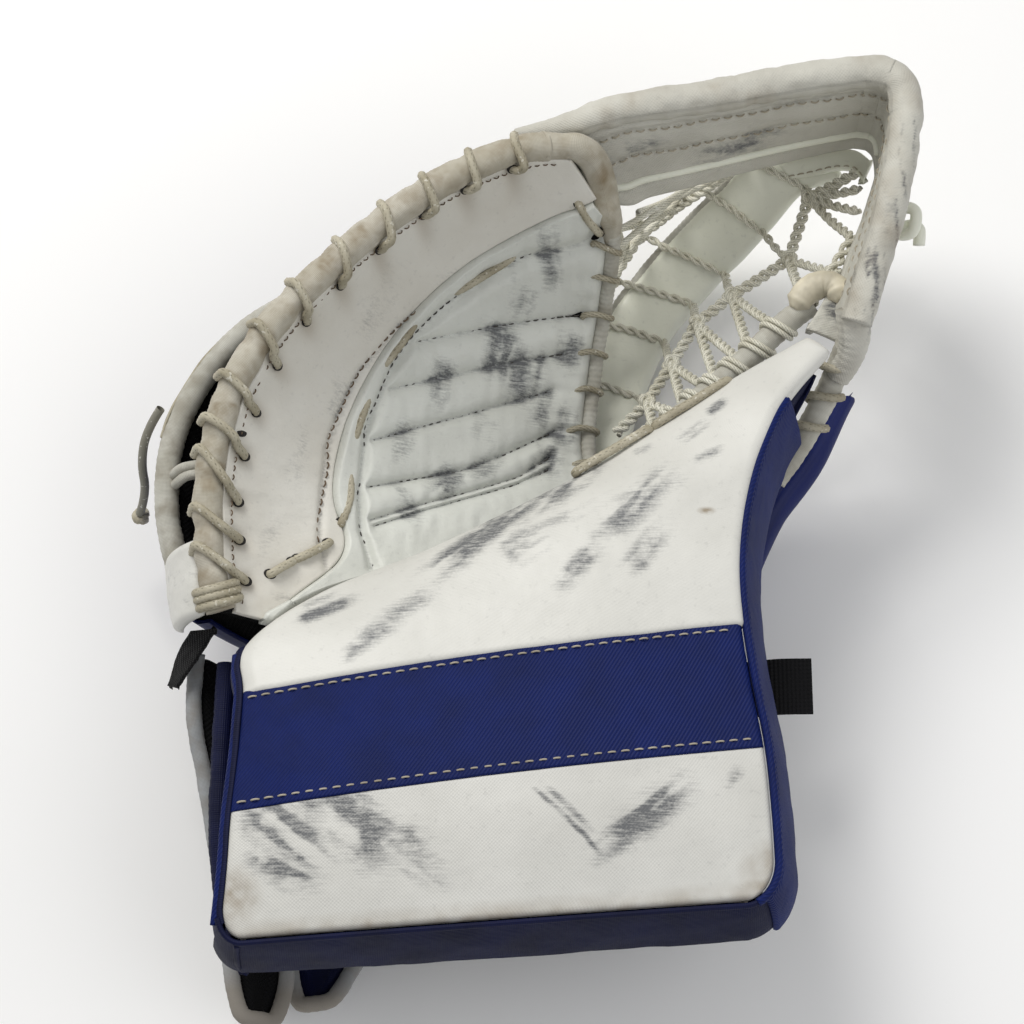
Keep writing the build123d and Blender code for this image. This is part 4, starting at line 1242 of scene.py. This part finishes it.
def cross_strap_points(index):
    left, right = rung_ends[index]
    s = RUNG_S[index]
    middle = [tee.at(s - 0.006, -0.24, 4.0), tee.at(s, -0.08, 4.3), tee.at(s + 0.004, 0.35, 3.6), tee.at(s, 0.8, 3.6)]
    middle.append(tee.at(s, 1.06, 2.6))
    slack = (middle[-1] + right) * 0.5 - vertical(1.5)
    return [left, *middle, slack, right]


def strand_pair(points, apart=1.15, pitch=9.0, phase=0.0):
    """Two cords that wind round each other along a path."""
    p = line(points, 0.7)
    side, up = frames(p)
    run = run_along(p)
    out = []
    for turn in (0.0, math.pi):
        a = run / pitch * 2 * math.pi + turn + phase
        out.append(p + side * (np.cos(a) * apart * 1.25)[:, None] + up * (np.sin(a) * apart * 0.8)[:, None])
    return out


def sag(a, b, drop=1.2):
    return [a, (a + b) / 2 - vertical(drop), b]


rungs = [cross_strap_points(i) for i in range(len(RUNGS))]
rung_pairs = [strand for k, path in enumerate(rungs) for strand in strand_pair(path, 0.85, 10.0, k)]
rung_cord = tubes("net_rungs_cord", rung_pairs, 0.85, NETTING_LIT, SPINE, braid_shape(3, 4.2), around=12, step=0.4)
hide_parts("net_rungs")
thumb_start, thumb_end = np.array([41, 44, 34.0]), np.array([135.5, 141, 68.0])
finger_start, finger_end = np.array([27, 62, 18.0]), np.array([92, 150, 60.0])
far_corner = np.array([66, 142, 36.0])
pairs = []
for chain in ([thumb_start, *thumb_knots, thumb_end], [finger_start, *finger_knots[:4], far_corner, finger_end]):
    for k, (a, b) in enumerate(zip(chain, chain[1:])):
        pairs += strand_pair(sag(a, b, 0.8), 1.1, 8.0, k)
columns = tubes("net_columns_cord", pairs, 1.15, NETTING_LIT, SPINE, braid_shape(3, 3.8), around=12, step=0.5)
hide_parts("net_columns")
roll_line = line(THUMB_ROLL, 1.0)


def on_roll(share):
    return roll_line[int(share * (len(roll_line) - 1))] - np.array([-1.0, -1.5, 2.0])


rim_hooks = np.array([(128, 96, 70), (133, 112, 69), (136, 124, 68), (137, 134, 68)], float)
links = []
thumb_ends = [(on_roll(a), on_roll(b)) for a, b in ((0.02, 0.18), (0.2, 0.36), (0.4, 0.56), (0.62, 0.8))]
thumb_ends += [(on_roll(0.97), rim_hooks[0]), (rim_hooks[2], rim_hooks[3])]
for knot, ends in zip(thumb_knots, thumb_ends):
    for k, end in enumerate(ends):
        links += strand_pair(sag(knot, end, 1.0), 1.0, 8.5, k * 1.7)
links += strand_pair(sag(rim_hooks[1], on_roll(0.99), 1.0), 1.2, 12.0)
links += strand_pair(sag(thumb_knots[5], rim_hooks[1], 2.0), 1.0, 8.0)
web_hooks = np.array([(29, 66, 26), (30, 76, 30), (31.5, 86, 34), (33, 94, 40), (35, 101, 50), (37, 108, 60),
                      (42, 120, 60), (50, 128, 60)], float)
single = []
for k, knot in enumerate(finger_knots[:4]):
    for end in (web_hooks[k], web_hooks[k + 2]):
        single.append(sag(knot, end, 0.5))
cluster = np.array([46, 124, 36.0])
for a, b in ((cluster, web_hooks[5]), (cluster, web_hooks[6]), (cluster, web_hooks[4]), (finger_knots[2], cluster),
             (finger_knots[3], cluster), (far_corner, web_hooks[6]), (far_corner, web_hooks[7]),
             (np.array([60, 138, 48.0]), finger_end), (web_hooks[6], np.array([78, 146, 58.0])),
             (web_hooks[5], np.array([72, 145, 56.0])), (finger_knots[3], web_hooks[7]),
             (finger_knots[4], web_hooks[7]),
             (finger_knots[4], cluster)):
    single.append(sag(a, b, 2.5))
tubes("net_links_cord", links, 1.1, NETTING_LIT, SPINE, braid_shape(3, 3.8), around=12, step=0.5)
tubes("net_edge_links_cord", single, 1.25, NETTING_LIT, SPINE, braid_shape(3, 4.0), around=12, step=0.5)
knots = []
for node in [*thumb_knots, *finger_knots[:5], cluster]:
    tilt = random.uniform(0, math.pi)
    for turn in range(2):
        path = []
        for k in range(10):
            a = 2 * math.pi * k / 9
            px, py = math.cos(a) * (3.1 - turn * 0.6), math.sin(a) * 1.9
            q = tilt + turn * 1.5
            path.append(node + np.array([px * math.cos(q) - py * math.sin(q), px * math.sin(q) + py * math.cos(q),
                                         math.sin(a * 2 + tilt) * 0.7 + turn * 1.7 - 0.4]))
        knots.append(path)
tubes("net_knots", knots, 1.15, NETTING_LIT, SPINE, braid_shape(3, 3.6), around=12, step=0.4)


def roll_grime(v):
    x, y = v[:, 0], v[:, 1]
    return np.clip((fractal(x / 9, y / 9, 133) - 0.4) * 1.5 * fractal(x / 2.5, y / 9, 134), 0, 0.5)


def roll_wear(v):
    """Dark scuffs along the rim's outer side and at the thumb."""
    x, y = v[:, 0], v[:, 1]
    streak = fractal(x / 1.6, y / 10, 135)
    right = np.clip((x - 136) / 8, 0, 1) * np.clip((150 - y) / 20, 0, 1)
    low = np.exp(-(((x - 134) / 9) ** 2 + ((y - 72) / 16) ** 2))
    return np.clip((streak - 0.42) * 3.4 * np.maximum(right * 0.8, low * 1.2), 0, 0.9)


def soft_roll(run, angle):
    return 1 + 0.1 * (noise(run / 5, angle * 0.6, 111) - 0.5) + 0.02 * np.cos(run * 2.1), np.ones_like(run * angle)


roll = tubes("thumb_edge_roll_leather", [THUMB_ROLL], 4.7, WHITE_TAPE, ROOT, soft_roll, around=24, grime=roll_grime)
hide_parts("thumb_edge_roll")
wraps = []
for share in (0.04, 0.16, 0.28, 0.4, 0.52, 0.66, 0.8):
    k = int(share * (len(roll_line) - 1))
    c = roll_line[k]
    tangent = unit(roll_line[min(k + 1, len(roll_line) - 1)] - roll_line[max(k - 1, 0)])
    up = unit(vertical(1.0) - tangent * tangent[2])
    for shift in (-1.2, 1.2):
        wraps.append(lace_turn(c, tangent, up, 5.7, 2.6, 9, shift, 1.4))
tubes("thumb_roll_wraps", wraps, 1.1, NETTING_LIT, ROOT, braid_shape(3, 4.0), around=12, step=0.5)
cap_path = [(108, 76, 80), (113, 82, 82), (119, 85, 83), (124, 83, 84), (126, 77, 85)]
tapered("thumb_roll_end_cap", cap_path, [0, 0.1, 0.5, 0.9, 1], [2.0, 5.0, 5.6, 4.6, 2.0], AMBER, ROOT, soft_roll, 24)

lace_line = line(THUMB_LACE, 1.0)


def lace_point(share, lift):
    p = lace_line[int(share * (len(lace_line) - 1))]
    return p + vertical(lift)


lace_paths = [
    [lace_point(0.0, -3), lace_point(0.02, 0.4), lace_point(0.24, 1.0), lace_point(0.46, 0.4), lace_point(0.49, -3)],
    [lace_point(0.52, -3), lace_point(0.54, 0.4), lace_point(0.77, 1.0), lace_point(0.97, 0.4), lace_point(1.0, -3)],
]
edge_lace = tubes("thumb_edge_lace_cord", lace_paths, LACE / 2, LACING, ROOT, braid_shape(), around=16, step=0.5)
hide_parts("thumb_edge_lace")

# ---------------------------------------------------------------- pocket rim
rim = Panel(FINGER_WALL + CORNER + THUMB_WALL, 0, (-1, -1, 0))
RIM_MEET = 7 / 14  # share along the rim where its finger half meets its thumb half
RIM_HEIGHT = 54  # mm down the rim's wall


def rim_relief(s, t, x, y):
    z = t * RIM_HEIGHT
    seams = 1.0 * bell(z - 17, 6.0) - 0.8 * bell(z - 24, 1.4) - 0.9 * bell(z - 9, 1.4) - 1.8 * bell(z - 42, 1.6)
    return seams + (fractal(x / 8, z / 8, 121) - 0.5) * 1.6


def rim_wear(s, t, x, y):
    scuff = stroke_marks(x, t * RIM_HEIGHT, [(66, 33, 108, 31, 12, 1.0), (84, 26, 112, 30, 9, 1.0),
                                             (24, 18, 36, 34, 12, 0.8),
                                     (40, 22, 60, 16, 12, 0.8), (96, 8, 128, 6, 7, 0.7), (14, 8, 44, 6, 8, 0.7)], 41)
    return np.clip(np.clip(fractal(x / 6, t * 9, 122) - 0.52, 0, 1) * 1.0 + scuff, 0, 1) * 0.8


def rim_seams(name, start, end):
    lines = []
    for t in (0.17, 0.44):
        lines.append(panel_line(rim, [(start + (end - start) * k / 20, t + 0.012 * math.sin(k * 2.1))
                                      for k in range(21)], 5.0))
    return stitches(name, lines, TAN_THREAD, None, length=3.0, gap=1.9, radius=0.34, lift=0.2)


rim_seam_a = rim_seams("rim_finger_stitching", 0.02, RIM_MEET)
rim_seam_b = rim_seams("rim_thumb_stitching", RIM_MEET, 0.98)
wall_a = pad("rim_finger_leather", rim, RIM_WHITE, None, s=(0, RIM_MEET + 0.012), t=(0.06, 1), top=4.5, bottom=-4.5,
             round_in=3.5, step=1.0, relief=rim_relief, wear=rim_wear)
wall_b = pad("rim_thumb_leather", rim, RIM_WHITE, None, s=(RIM_MEET - 0.012, 1), t=(0.06, 1), top=4.5, bottom=-4.5,
             round_in=3.5, step=1.0, relief=rim_relief, wear=rim_wear)


def crumple(run, angle):
    fold = 0.14 * (noise(run / 5.5, angle * 1.3, 131) - 0.5) + 0.05 * (noise(run / 1.8, angle * 2, 132) - 0.5)
    return 1 + fold, np.ones_like(run * angle)


def rim_roll(name, start, end, thick):
    path = [rim.at(s, 0.0) for s in np.linspace(start, end, 16)]
    return tapered(name, path, np.linspace(0, 1, len(thick)), thick, RIM_WHITE, None, crumple, 30, 0.8,
                   grime=roll_grime, wear=roll_wear)


roll_a = rim_roll("rim_finger_roll_leather", 0.015, RIM_MEET + 0.006, [3.0, 5.6, 6.2, 6.4, 6.4, 6.4])
roll_b = rim_roll("rim_thumb_roll_leather", RIM_MEET - 0.006, 1.0, [6.4, 6.4, 6.4, 6.4, 6.2, 6.0])
piping_a = tubes("rim_finger_piping", [[rim.at(s, 0.73, 4.6) for s in np.linspace(0.07, RIM_MEET, 14)]], 1.5,
                 STRAP_WHITE_LIT, None, around=12, step=1.0)
piping_b = tubes("rim_thumb_piping", [[rim.at(s, 0.73, 4.6) for s in np.linspace(RIM_MEET, RIM_MEET + 0.12, 8)]], 1.5,
                 STRAP_WHITE_LIT, None, around=12, step=1.0)
seam_start, seam_end = metres([96, 150, 90]), metres([134, 158, 90])
for obj in (rim_seam_a, wall_a, roll_a, piping_a):
    tuple(seam_start)
    tuple(seam_end)
    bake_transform(obj)
low_start, low_end = metres([148, 140, 90]), metres([143, 108, 90])
for obj in (rim_seam_b, wall_b, roll_b, piping_b):
    tuple(low_start)
    tuple(low_end)
    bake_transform(obj)
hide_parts("rim_finger_wall")
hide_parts("rim_finger_roll")
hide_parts("rim_thumb_wall", "rim_corner_wall")
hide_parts("rim_thumb_roll", "rim_corner_roll")

knot_path = [(146, 111, 84), (151, 114, 90), (155, 111, 92), (154, 105, 88), (150, 106, 83), (153, 111, 81),
             (157, 108, 84),
             (157, 102, 82)]
rim_knot = tubes("rim_lace_knot", [knot_path], 2.3, STRAP_WHITE_LIT, ROOT, crumple, step=0.6)
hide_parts("rim_knot")

# ---------------------------------------------------------------- thumb: back, stall, binding and laces
thumb_shell = pad("thumb_back_padding", thumb_back, BLUE_PAD, ROOT, bottom=-11.0, round_in=4.0,
                  relief=dents(14, 141, 1.5))
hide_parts("thumb_pad")


def bellows(run, angle):
    folds = 1 + 0.05 * np.cos(run * 2 * math.pi / 7)
    return folds + 0.08 * (noise(run / 6, angle, 143) - 0.5), np.ones_like(run * angle)


stall = tubes("thumb_stall_knit", [THUMB_STALL], 9.8, BLACK, ROOT, bellows, around=28, step=1.2)
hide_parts("thumb_stall")
bridge_path = [(128, 66, 100), (129, 60, 95), (129, 56, 90), (127, 52, 84), (124, 48, 78)]
tapered("rim_to_thumb_leather", bridge_path, [0, 0.4, 1], [6.6, 6.0, 4.6], RIM_WHITE, ROOT, soft_roll, 26,
        grime=roll_grime, wear=roll_wear)
web_fill = Panel([((112, 66, 84), (128, 60, 80)), ((117, 74, 84), (131, 68, 80)), ((121, 82, 83), (133, 78, 78))], 1.0)


def gore_wear(s, t, x, y):
    return np.clip(1.4 - np.hypot((x - 125) / 6, (y - 73) / 7), 0, 1) * (0.5 + fractal(x / 2, y / 2, 146))


skin("rim_thumb_gore_leather", web_fill, RIM_WHITE, ROOT, thick=3.0, edges=((1, 1),) * 4, step=0.9,
     relief=dents(4, 145, 1.8), wear=gore_wear)
thumb_tape = tubes("thumb_binding_tape", [THUMB_BINDING], 4.8, WHITE_TAPE, ROOT, soft_roll, around=24,
                   grime=binding_grime)
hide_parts("thumb_binding")
bind_line = line(THUMB_BINDING, 1.0)
wraps = []
for share in (0.18, 0.4, 0.62):
    k = int(share * (len(bind_line) - 1))
    c = bind_line[k]
    tangent = unit(bind_line[k + 1] - bind_line[k - 1])
    up = unit(np.array([-0.5, 0.2, 1.0]) - tangent * np.dot([-0.5, 0.2, 1.0], tangent))
    wraps.append(lace_turn(c, tangent, up, 6.4, 1.9, 8, 0.0, 2.0))
thumb_laces = tubes("thumb_lacing_cord", wraps, LACE / 2 - 0.1, LACING, ROOT, braid_shape(), around=16, step=0.5)
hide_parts("thumb_lacing")

# ---------------------------------------------------------------- back of the hand
back_lead = [4.0 / w for w in backhand.width(np.linspace(0, 1, 7))]
back_pad = pad("backhand_padding", backhand, BLACK, FINGERS, t=(back_lead, 1), bottom=-7.6, step=3.0,
               relief=dents(12, 151, 1.5))
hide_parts("backhand_pad")


def back_relief(s, t, x, y):
    groove = np.zeros_like(x)
    for q in (0.2, 0.4, 0.6, 0.8):
        groove = np.maximum(groove, bell((s - q) * 190, 2.2))
    return (fractal(x / 16, y / 16, 152) - 0.5) * 1.4 - 1.4 * groove * np.clip((0.62 - t) * 8, 0, 1)


back_skin = skin("backhand_leather", backhand, BLUE_PAD, FINGERS, t=(back_lead, 1), top=-8.0,
                 edges=((3, 5), (3, 5), (1, 1), (3, 5)), step=1.6, relief=back_relief,
                 wear=lambda s, t, x, y: np.clip(fractal(x / 7, y / 7, 153) - 0.55, 0, 1) * 1.5, sign=-1)
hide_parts("backhand_cover")
back_edge = [backhand.at(s, 0.0, -4.5) for s in np.linspace(0, 1, 16)]
back_tape = tubes("backhand_binding_tape", [back_edge], 4.6, WHITE_TAPE, FINGERS, soft_roll, around=22, step=1.0,
                  grime=binding_grime)
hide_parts("backhand_binding")
frayed = []
for k in range(5):
    shift = np.array([-4.6 + 0.5 * k, 0, 1.8 - 0.7 * k])
    frayed.append([backhand.at(s, 0.0, -4.5) + shift + vertical(0.6 * math.sin(s * 60 + k))
                   for s in np.linspace(0.30, 0.52, 9)])
tubes("backhand_frayed_lace", frayed, 0.55, LACING, FINGERS, around=8)
cross_strap = [(-128, 6, 80), (-123, 7, 86.5), (-116, 8, 88), (-111, 9, 92)]
tubes("backhand_cross_strap", [cross_strap, [(p[0] + 1.5, p[1] - 3.4, p[2]) for p in cross_strap]], 1.9, WHITE_TAPE,
      FINGERS, around=12, step=0.7)
keeper = Panel(KEEPER, 2.5, (-1, 0, 0))
keeper_skin = skin("side_keeper_leather", keeper, WHITE, FINGERS, thick=2.0, edges=((1, 0.5),) * 4, step=0.7,
                   relief=lambda s, t, x, y: (fractal(s * 3, t * 3, 161) - 0.5) * 1.2,
                   wear=lambda s, t, x, y: np.clip(fractal(s * 6, t * 6, 162) - 0.5, 0, 1) * 1.4)
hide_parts("side_keeper")
frame_line = [(0.09, 0.09), (0.5, 0.07), (0.91, 0.09), (0.93, 0.5), (0.91, 0.91), (0.5, 0.93), (0.09, 0.91),
              (0.07, 0.5), (0.09, 0.09)]
stitches("side_keeper_stitching", [panel_line(keeper, frame_line, 0.1)], BROWN_THREAD, FINGERS, length=2.0, gap=1.3,
         radius=0.35)
sleeves = tubes("finger_stalls_knit", [[s[0], tuple((np.array(s[0]) + np.array(s[1])) / 2), s[1]] for s in STALLS], 7.8,
                BLACK, FINGERS, bellows, around=22, step=1.2)
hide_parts("finger_stalls")

# ---------------------------------------------------------------- wrist: flaps, liner, strap, loop and hook tab
outer_flap = Panel(OUTER_FLAP, -3)
back_flap = Panel(BACK_FLAP, -3)
for name, flap, node, material in (("wrist_flap_outer_padding", outer_flap, "wrist_flap_outer", BLACK),
                                   ("wrist_flap_back_padding", back_flap, "wrist_flap_back", NAVY)):
    piece = pad(name, flap, material, WRAP, top=0.4, bottom=-7.4, step=1.8, relief=dents(9, 171, 1.6), inset=2.0)
    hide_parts(node)
paths = []
for flap in (outer_flap, back_flap):
    one = [flap.at(s, 0.0, -3.5) for s in np.linspace(0, 1, 12)]
    two = [flap.at(s, 1.0, -3.5) for s in np.linspace(1, 0, 12)]
    tip = (one[-1] + two[0]) / 2 + unit(one[-1] - one[-3]) * 1.0
    paths.append([*one[:-1], (one[-1] * 0.8 + tip * 0.2), tip, (two[0] * 0.8 + tip * 0.2), *two[1:]])
bindings = tubes("wrist_flap_bindings", paths, 3.0, GREY_TAPE, WRAP, soft_roll, around=16, step=1.0,
                 grime=lambda v: np.clip((-168 - v[:, 1]) / 14, 0, 0.8))
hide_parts("flap_bindings")
liner = Panel(LINER)
liner_pad = pad("wrist_liner_padding", liner, BLACK, ROOT, t=(0.04, 1), bottom=-5.0, round_in=2.4, step=2.4,
                relief=dents(11, 181, 0.8))
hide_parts("wrist_liner")
liner_edge = tubes("wrist_liner_binding", [[liner.at(s, 0.0, -2.5) for s in np.linspace(0, 1, 10)]], 3.8, NAVY, ROOT,
                   soft_roll, around=18, step=1.0)
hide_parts("liner_binding")
break_skin = skin("break_leather_piece", Panel(BREAK), STRAP_WHITE_LIT, SPINE, thick=1.8, edges=((0.8, 0.4),) * 4, step=1.5,
                  relief=dents(10, 191, 1.6))
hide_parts("break_leather")


def webbing(name, points, body, width=22.0):
    rows = [((x, y - width / 2, z), (x, y + width / 2, z)) for x, y, z in line(points, 8.0)]
    return skin(name, Panel(rows), WEBBING, body, top=1.1, thick=2.2, edges=(None, None, (0.5, 0.2), (0.5, 0.2)))


strap = webbing("wrist_strap_webbing", STRAP_LINE, ROOT)
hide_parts("wrist_strap")
tail_strap = webbing("wrist_strap_tail_webbing", TAIL_LINE, "strap_tail")
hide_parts("wrist_strap_tail")
for kept in ("knuckle_plate", "strap_loop"):  # these two show as the CAD shapes that they are
    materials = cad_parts[kept].data.materials
    materials.clear()
    materials.append(HARD)
tab = skin("hook_tab_fabric", Panel(HOOK_TAB, 0, (-1, 0, 1)), HOOKS, "hook_tab_body", thick=2.2,
           edges=((0.8, 0.4),) * 4, step=0.8, relief=dents(3, 201, 0.8))
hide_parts("hook_tab")

# ---------------------------------------------------------------- loose end of the lace
curve = bpy.data.curves.new("lace_tail_cord", "CURVE")
curve.dimensions = "3D"
spline = curve.splines.new("NURBS")
spline.points.add(len(TAIL_ROUTE) - 1)
for point, place in zip(spline.points, metres(TAIL_ROUTE)):
    point.co = (*place, 1)
spline.order_u = 3
spline.use_endpoint_u = True
curve.bevel_depth = LACE / 2000
curve.bevel_resolution = 6
curve.resolution_u = 24
tail = add_object("lace_tail_cord", curve)
# Painted light: the loose lace tail takes the brighter net cord material instead of the lace's own, so that it reads
# lighter than its shade would let it.
curve.materials.append(NETTING_LIT)
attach(tail, FINGERS)
end = np.array(TAIL_ROUTE[-1], float) - vertical(3.0)
knot_ring = [[end + np.array([math.cos(a) * 2.0, math.sin(a) * 2.0, 1.2 * math.sin(a * 1.5 + k)])
              for a in np.linspace(0, 5.9, 9)]
             for k in range(3)]
tail_knot = tubes("lace_tail_end_knot", knot_ring, 1.6, LACING, FINGERS, braid_shape(), step=0.5)
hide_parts("lace_tail_knot")
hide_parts("lace_tail")
dense = np.array(metres(TAIL_ROUTE))

# ---------------------------------------------------------------- floor, light and camera
floor_mesh = bpy.data.meshes.new("floor")
FLOOR = 3.0  # half the floor's side, in m
FLOOR_LEVEL = -0.0004
corners = [(x * FLOOR, y * FLOOR, FLOOR_LEVEL) for x, y in ((-1, -1), (1, -1), (1, 1), (-1, 1))]
floor_mesh.from_pydata(corners, [], [(0, 1, 2, 3)])
floor = add_object("floor", floor_mesh)
pale = bpy.data.materials.new("pale floor")
pale.use_nodes = True
pale_shader = pale.node_tree.nodes["Principled BSDF"]
pale_shader.inputs["Base Color"].default_value = (0.95, 0.95, 0.95, 1)
pale_shader.inputs["Roughness"].default_value = 0.9
floor_mesh.materials.append(pale)
floor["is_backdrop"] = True

world = bpy.data.worlds.new("studio")
bpy.context.scene.world = world
world.use_nodes = True
world.node_tree.nodes["Background"].inputs["Color"].default_value = (1.0, 1.0, 1.0, 1)
world.node_tree.nodes["Background"].inputs["Strength"].default_value = 0.42


def area_light(name, place, aim, size, power, colour=(1, 1, 1)):
    light = bpy.data.lights.new(name, "AREA")
    light.energy, light.size, light.color = power, size, colour
    obj = add_object(name, light)
    obj.location = place
    obj.rotation_euler = (Vector(aim) - Vector(place)).to_track_quat("-Z", "Y").to_euler()


area_light("key", (-0.55, 0.75, 1.25), (0, 0, 0.05), 0.7, 15, (1.0, 0.985, 0.95))
area_light("fill", (0.9, -0.5, 1.2), (0, 0, 0.05), 1.2, 5.5, (0.97, 0.98, 1.0))

camera_data = bpy.data.cameras.new("camera")
camera = add_object("camera", camera_data)
elevation = math.radians(68)
DISTANCE = 1.2
target = Vector((-0.0148, 0.01205, 0.060))
place = target + Vector((0, -math.cos(elevation), math.sin(elevation))) * DISTANCE
camera.location = place
camera.rotation_euler = (target - place).to_track_quat("-Z", "Y").to_euler()
camera_data.sensor_width = 36
camera_data.lens = 111
camera_data.dof.use_dof = False
camera_data.clip_start = 0.05
bpy.context.scene.camera = camera
bpy.context.scene.view_settings.view_transform = "Standard"

low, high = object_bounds()
